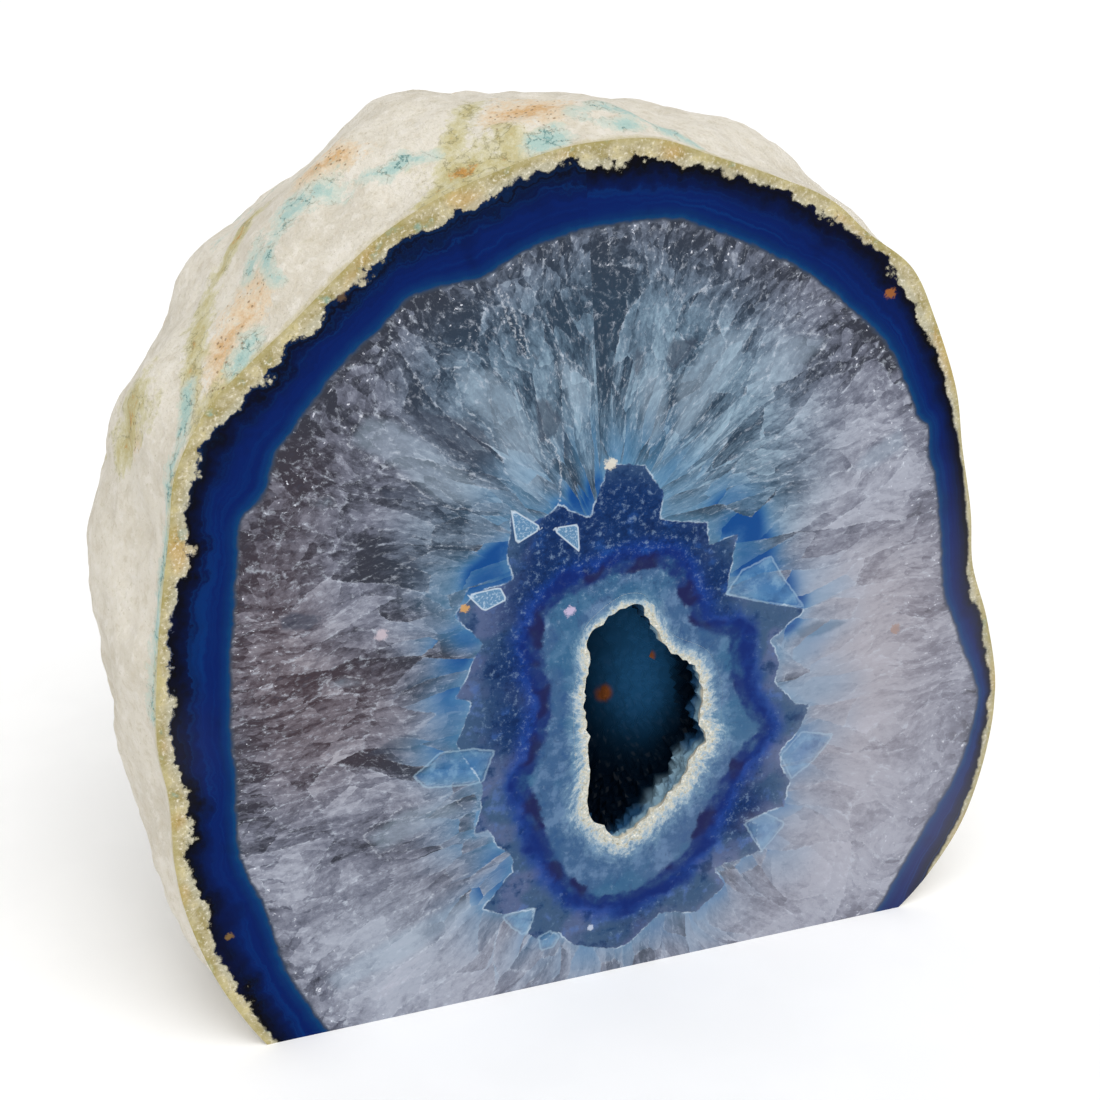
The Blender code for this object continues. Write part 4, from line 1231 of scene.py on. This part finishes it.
def make_stone(settings):
    """The stone as one closed skin: rind, face, base and the pocket behind the druse. All four are grids
    on the same columns, and share the points where they meet."""
    angles, left, right = stone_columns()
    skin = fit_to_box(rind_grid(angles, left, right, settings.rind_grain / MM))
    low = np.arange(left, right + 1)
    bottom = skin[0].copy()
    along = np.linspace(0, 1, len(low))[:, None]
    bottom[low] = skin[0, left] + (skin[0, right] - skin[0, left]) * along
    from_hollow = bottom[:, [0, 2]] - np.array(HOLLOW_CENTRE)
    turned = np.arctan2(from_hollow[:, 1], from_hollow[:, 0])
    pocket = hollow_rings(turned, np.linspace(0, 1, POCKET_ROWS + 1), crust_back(turned) + SEAM,
                          CRUST_FLOOR + SEAM)
    pocket[-1] = pocket[-1].mean(axis=0)
    along = 1 - (1 - np.linspace(0, 1, FACE_ROWS)[:, None, None]) ** FACE_CROWDING
    face = bottom + (pocket[0] - bottom) * along
    along = np.linspace(0, 1, BASE_ROWS)[:, None, None]
    base = bottom[low] + (skin[0, low] - bottom[low]) * along
    grids = [skin, face, base, pocket]
    firsts = np.cumsum([0] + [grid.shape[0] * grid.shape[1] for grid in grids[:-1]])
    faces = [grid_faces(grid.shape[0], grid.shape[1], first, grid is not base)
             for grid, first in zip(grids, firsts)]
    points = np.concatenate([grid.reshape(-1, 3) for grid in grids])
    sheet = points[:, [0, 2]]
    fields = face_fields(sheet)
    fields["stains"] = np.stack([stain(points, lines) for lines in (TURQUOISE, OCHRE, PEACH)], axis=-1)
    fields["rough"] = np.stack([points[:, 1], points[:, 1], 0 * points[:, 1]], axis=-1)
    stone = make_mesh("geode_stone", points, faces, [0, 1, 2, 2], fields, [True, False, False, True])
    for material in (rind(settings), agate_face(settings), sawn_base()):
        stone.data.materials.append(material)
    weld(stone)
    return stone


def weld(made):
    """Joins points that lie on each other, drops faces with no area and turns all faces outward."""
    mesh = bmesh.new()
    mesh.from_mesh(made.data)
    bmesh.ops.remove_doubles(mesh, verts=mesh.verts, dist=WELD_DISTANCE)
    bmesh.ops.dissolve_degenerate(mesh, edges=mesh.edges, dist=WELD_DISTANCE)
    bmesh.ops.recalc_face_normals(mesh, faces=mesh.faces)
    mesh.to_mesh(made.data)
    mesh.free()


def crystal_heights(wall, seed, spacing, heights):
    """Heights of quartz points over a wall. Each point is a six-sided pyramid: its height less its slope
    times the greatest of three distances across its foot, and the highest pyramid shows."""
    draw = np.random.default_rng(seed)
    rows, columns = wall.shape[:2]
    across = np.roll(wall, -1, axis=1) - np.roll(wall, 1, axis=1)
    deeper = np.gradient(wall, axis=0)
    area = np.linalg.norm(np.cross(across / 2, deeper), axis=-1)
    count = int(area.sum() / spacing ** 2)
    chance = (area / area.sum()).ravel()
    feet = draw.choice(rows * columns, count, p=chance, replace=False)
    centre = wall.reshape(-1, 3)[feet]
    first = across.reshape(-1, 3)[feet]
    first /= np.linalg.norm(first, axis=-1, keepdims=True)
    normal = np.cross(first, deeper.reshape(-1, 3)[feet])
    normal /= np.linalg.norm(normal, axis=-1, keepdims=True) + 1e-9
    second = np.cross(normal, first)
    turn = draw.uniform(0, np.pi / 3, count)
    tall = draw.uniform(*heights, count)
    steep = tall / (spacing * draw.uniform(*POINT_FEET, count))
    sides = [np.cos(turn + k * np.pi / 3)[:, None] * first + np.sin(turn + k * np.pi / 3)[:, None] * second
             for k in range(3)]
    result = np.zeros((rows, columns))
    for row in range(rows):
        away = wall[row][:, None, :] - centre[None]
        across_foot = np.max([np.abs(np.einsum("ijk,jk->ij", away, side)) for side in sides], axis=0)
        off_wall = np.abs(np.einsum("ijk,jk->ij", away, normal))
        height = tall - steep * across_foot - np.maximum(off_wall - POINT_REACH, 0) * POINT_FALL
        result[row] = np.maximum(height.max(axis=1), 0)
    return result


def make_druse(settings, stone_settings):
    """The crust as one closed skin: crystals inside, a rim in the plane of the face, and a smooth back."""
    angles = np.linspace(-np.pi, np.pi, DRUSE_COLUMNS, endpoint=False)
    shares = np.linspace(0, 1, DRUSE_ROWS)
    wall = hollow_rings(angles, shares, CRYSTAL_REACH, 0)
    wall[-1] = wall[-1].mean(axis=0)
    tallest = (settings.point_low / MM, settings.point_high / MM)
    heights = crystal_heights(wall, POINT_SEED, settings.point_spacing / MM, tallest)
    shelter = smooth_step(shares[:, None] / RIM_POINT_DEPTH_SHARE)
    heights *= RIM_POINT_SHARE + (1 - RIM_POINT_SHARE) * shelter
    across = np.roll(wall, -1, axis=1) - np.roll(wall, 1, axis=1)
    deeper = np.gradient(wall, axis=0)
    normal = np.cross(across, deeper)
    normal /= np.linalg.norm(normal, axis=-1, keepdims=True) + 1e-9
    middle = np.array([HOLLOW_CENTRE[0], HOLLOW_DEPTH / 3, HOLLOW_CENTRE[1]])
    inward = np.sign(np.sum(normal * (middle - wall), axis=-1, keepdims=True))
    inner = wall + normal * inward * heights[..., None]
    inner[0, :, 1] = 0
    inner[1:, :, 1] = np.maximum(inner[1:, :, 1], 0.02)
    inner[-1] = inner[-1].mean(axis=0)
    back_shares = np.linspace(0, 1, DRUSE_BACK_ROWS)
    back = hollow_rings(angles, back_shares, crust_back(angles), CRUST_FLOOR)
    back[-1] = back[-1].mean(axis=0)
    along = np.linspace(0, 1, DRUSE_RIM_ROWS)[:, None, None]
    rim = inner[0] + (back[0] - inner[0]) * along
    grids = [inner, rim, back]
    firsts = np.cumsum([0] + [grid.shape[0] * grid.shape[1] for grid in grids[:-1]])
    faces = [grid_faces(grid.shape[0], grid.shape[1], first) for grid, first in zip(grids, firsts)]
    points = np.concatenate([grid.reshape(-1, 3) for grid in grids])
    fields = face_fields(points[:, [0, 2]])
    painted_glow = soft_spots(points, PAINTED_GLOW_SPOTS)
    fields["druse"] = np.stack([points[:, 1], painted_glow, soft_spots(points, RUST)], axis=-1)
    druse = make_mesh("druse_crystals", points, faces, [0, 1, 0], fields, [False, False, True])
    for material in (druse_material(settings), agate_face(stone_settings)):
        druse.data.materials.append(material)
    weld(druse)
    return druse


def make_floor(radius, colour):
    """A round pale floor."""
    mesh = bpy.data.meshes.new("floor")
    turn = np.linspace(0, 2 * np.pi, FLOOR_SIDES, endpoint=False)
    points = np.stack([radius * np.cos(turn), radius * np.sin(turn), 0 * turn], axis=-1)
    mesh.from_pydata(points, [], [tuple(range(FLOOR_SIDES))])
    floor = bpy.data.objects.new("floor", mesh)
    bpy.context.scene.collection.objects.link(floor)
    material, tree = new_material("pale paper")
    paper = add(tree, "TexNoise", {"Scale": 400.0, "Detail": 2.0})
    colour = lay_over(tree, colour, [("#fafafa", paper, 0.4, 0.6, 0.4)])
    floor.data.materials.append(finished(material, {"Base Color": colour, "Roughness": 0.95,
                                                    "Specular IOR Level": 0.05}))
    return floor


def add_sun(name, toward, strength, angle):
    """A wide soft light from far away, from the direction toward."""
    light = bpy.data.lights.new(name, "SUN")
    light.energy = strength
    light.angle = angle
    made = bpy.data.objects.new(name, light)
    made.rotation_euler = Vector(toward).to_track_quat("Z", "Y").to_euler()
    bpy.context.scene.collection.objects.link(made)


def make_view():
    """The camera, placed by its angles and its distance from the target."""
    data = bpy.data.cameras.new("view")
    data.sensor_width = SENSOR
    data.lens = SENSOR / 2 / math.tan(VIEW_ANGLE / 2)
    data.clip_start = 0.01
    back = Vector((math.sin(VIEW_AZIMUTH) * math.cos(VIEW_ELEVATION),
                   -math.cos(VIEW_AZIMUTH) * math.cos(VIEW_ELEVATION), math.sin(VIEW_ELEVATION)))
    camera = bpy.data.objects.new("view", data)
    camera.location = Vector((np.array(VIEW_TARGET) + sheet_to_frame()) * MM) + back * VIEW_DISTANCE
    camera.rotation_euler = back.to_track_quat("Z", "Y").to_euler()
    bpy.context.scene.collection.objects.link(camera)
    bpy.context.scene.camera = camera


def size_setting(name, description, millimetres):
    """A length that a user can change."""
    return bpy.props.FloatProperty(name=name, description=description, default=millimetres * MM, min=0,
                                   precision=5, subtype="DISTANCE", unit="LENGTH")


def colour_setting(name, description, colour):
    """A colour that a user can change."""
    return bpy.props.FloatVectorProperty(name=name, description=description, default=linear(colour), min=0,
                                         max=1, size=4, subtype="COLOR")


def share_setting(name, description, value, most=10.0):
    """A plain number that a user can change."""
    return bpy.props.FloatProperty(name=name, description=description, default=value, min=0, max=most,
                                   subtype="FACTOR")


class GeodeStoneSettings(bpy.types.PropertyGroup):
    """Sizes and colours of the polished face and the rind"""
    moss_reach: size_setting("Moss reach", "How far the rind's moss reaches into the dark band", 1.45)
    blade_width: size_setting("Blade width", "Width of the quartz blades", 3.6)
    blade_length: size_setting("Blade length", "Length of the quartz blades", 9)
    rind_grain: size_setting("Rind grain", "Depth of the rind's fine grain", 0.3)
    dye_strength: share_setting("Dye strength", "How deep the dye in the quartz points is", 1.0, 2.0)
    quartz_dark: colour_setting("Dark quartz", "Colour of the clear, dark quartz", "#33353f")
    quartz_light: colour_setting("Light quartz", "Colour of the frosted quartz", "#a0a4b1")
    band_blue: colour_setting("Band", "Colour of the dyed band", "#001b5a")
    rind_cream: colour_setting("Rind", "Colour of the clean rind", "#f3ecdd")


class GeodeDruseSettings(bpy.types.PropertyGroup):
    """Sizes and colours of the crystals in the hollow"""
    point_spacing: size_setting("Point spacing", "Distance between the quartz points", 1.3)
    point_low: size_setting("Lowest point", "Height of the lowest quartz points", 0.7)
    point_high: size_setting("Highest point", "Height of the highest quartz points", 1.6)
    # Painted glow: strength of the emission painted on the hollow's back wall, where no lamp is
    painted_glow_strength: share_setting("Light through", "Strength of the light through the stone", 0.62)
    # Near black: partly the crystals' dye, partly painted shade of the hollow
    deep_dye_and_shade: colour_setting("Deep blue", "Colour of the crystals deep in the hollow", "#010a16")


class GeodeStageSettings(bpy.types.PropertyGroup):
    """Size, colour and light of the studio"""
    floor_radius: size_setting("Floor radius", "Radius of the floor", 3000)
    floor_colour: colour_setting("Floor", "Colour of the floor", "#fefefe")
    key_strength: share_setting("Key light", "Strength of the soft key light", 1.85)
    key_angle: bpy.props.FloatProperty(name="Key size", description="Angle that the key light takes up",
                                       default=math.radians(50), min=0, max=math.pi, subtype="ANGLE")
    fill_strength: share_setting("Fill light", "Strength of the light from all round", 0.62)


class GEODE_OT_stone(bpy.types.Operator):
    """Makes the polished stone with its rind"""
    bl_idname = "geode.stone"
    bl_label = "Stone"

    def execute(self, context):
        stone = make_stone(context.scene.geode_stone)
        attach(stone, "root")
        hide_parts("stone")
        return {"FINISHED"}


class GEODE_OT_druse(bpy.types.Operator):
    """Makes the crust of crystals in the hollow"""
    bl_idname = "geode.druse"
    bl_label = "Druse"

    def execute(self, context):
        druse = make_druse(context.scene.geode_druse, context.scene.geode_stone)
        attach(druse, "root")
        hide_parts("druse_crust")
        return {"FINISHED"}


class GEODE_OT_stage(bpy.types.Operator):
    """Makes the pale floor, the soft lights and the camera"""
    bl_idname = "geode.stage"
    bl_label = "Stage"

    def execute(self, context):
        scene = context.scene
        settings = scene.geode_stage
        make_floor(settings.floor_radius, settings.floor_colour)
        add_sun("soft_key", (-0.06, -0.80, 1.25), settings.key_strength, settings.key_angle)
        world = bpy.data.worlds.new("studio")
        world.use_nodes = True
        world.node_tree.nodes["Background"].inputs["Color"].default_value = linear("#ffffff")
        world.node_tree.nodes["Background"].inputs["Strength"].default_value = settings.fill_strength
        scene.world = world
        scene.view_settings.view_transform = "Standard"
        make_view()
        return {"FINISHED"}


class GEODE_PT_pieces(bpy.types.Panel):
    """Lists the settings of each piece with the button that makes it"""
    bl_idname = "GEODE_PT_pieces"
    bl_label = "Agate geode"
    bl_space_type = "VIEW_3D"
    bl_region_type = "UI"
    bl_category = "Geode"

    def draw(self, context):
        self.layout.use_property_split = True
        for group, (settings_class, operator) in GROUPS.items():
            box = self.layout.box()
            for name in settings_class.__annotations__:
                box.prop(getattr(context.scene, group), name)
            box.operator(operator.bl_idname)


# The scene's settings, the class of each and the operator that uses it
GROUPS = {
    "geode_stone": (GeodeStoneSettings, GEODE_OT_stone),
    "geode_druse": (GeodeDruseSettings, GEODE_OT_druse),
    "geode_stage": (GeodeStageSettings, GEODE_OT_stage),
}
CLASSES = (*(cls for pair in GROUPS.values() for cls in pair), GEODE_PT_pieces)


def register():
    for cls in CLASSES:
        bpy.utils.register_class(cls)
    for group, (settings_class, _) in GROUPS.items():
        setattr(bpy.types.Scene, group, bpy.props.PointerProperty(type=settings_class))


def unregister():
    for group in GROUPS:
        delattr(bpy.types.Scene, group)
    for cls in reversed(CLASSES):
        bpy.utils.unregister_class(cls)


def main():
    register()
    bpy.ops.geode.stone()
    bpy.ops.geode.druse()
    bpy.ops.geode.stage()


if __name__ == "__main__":
    main()
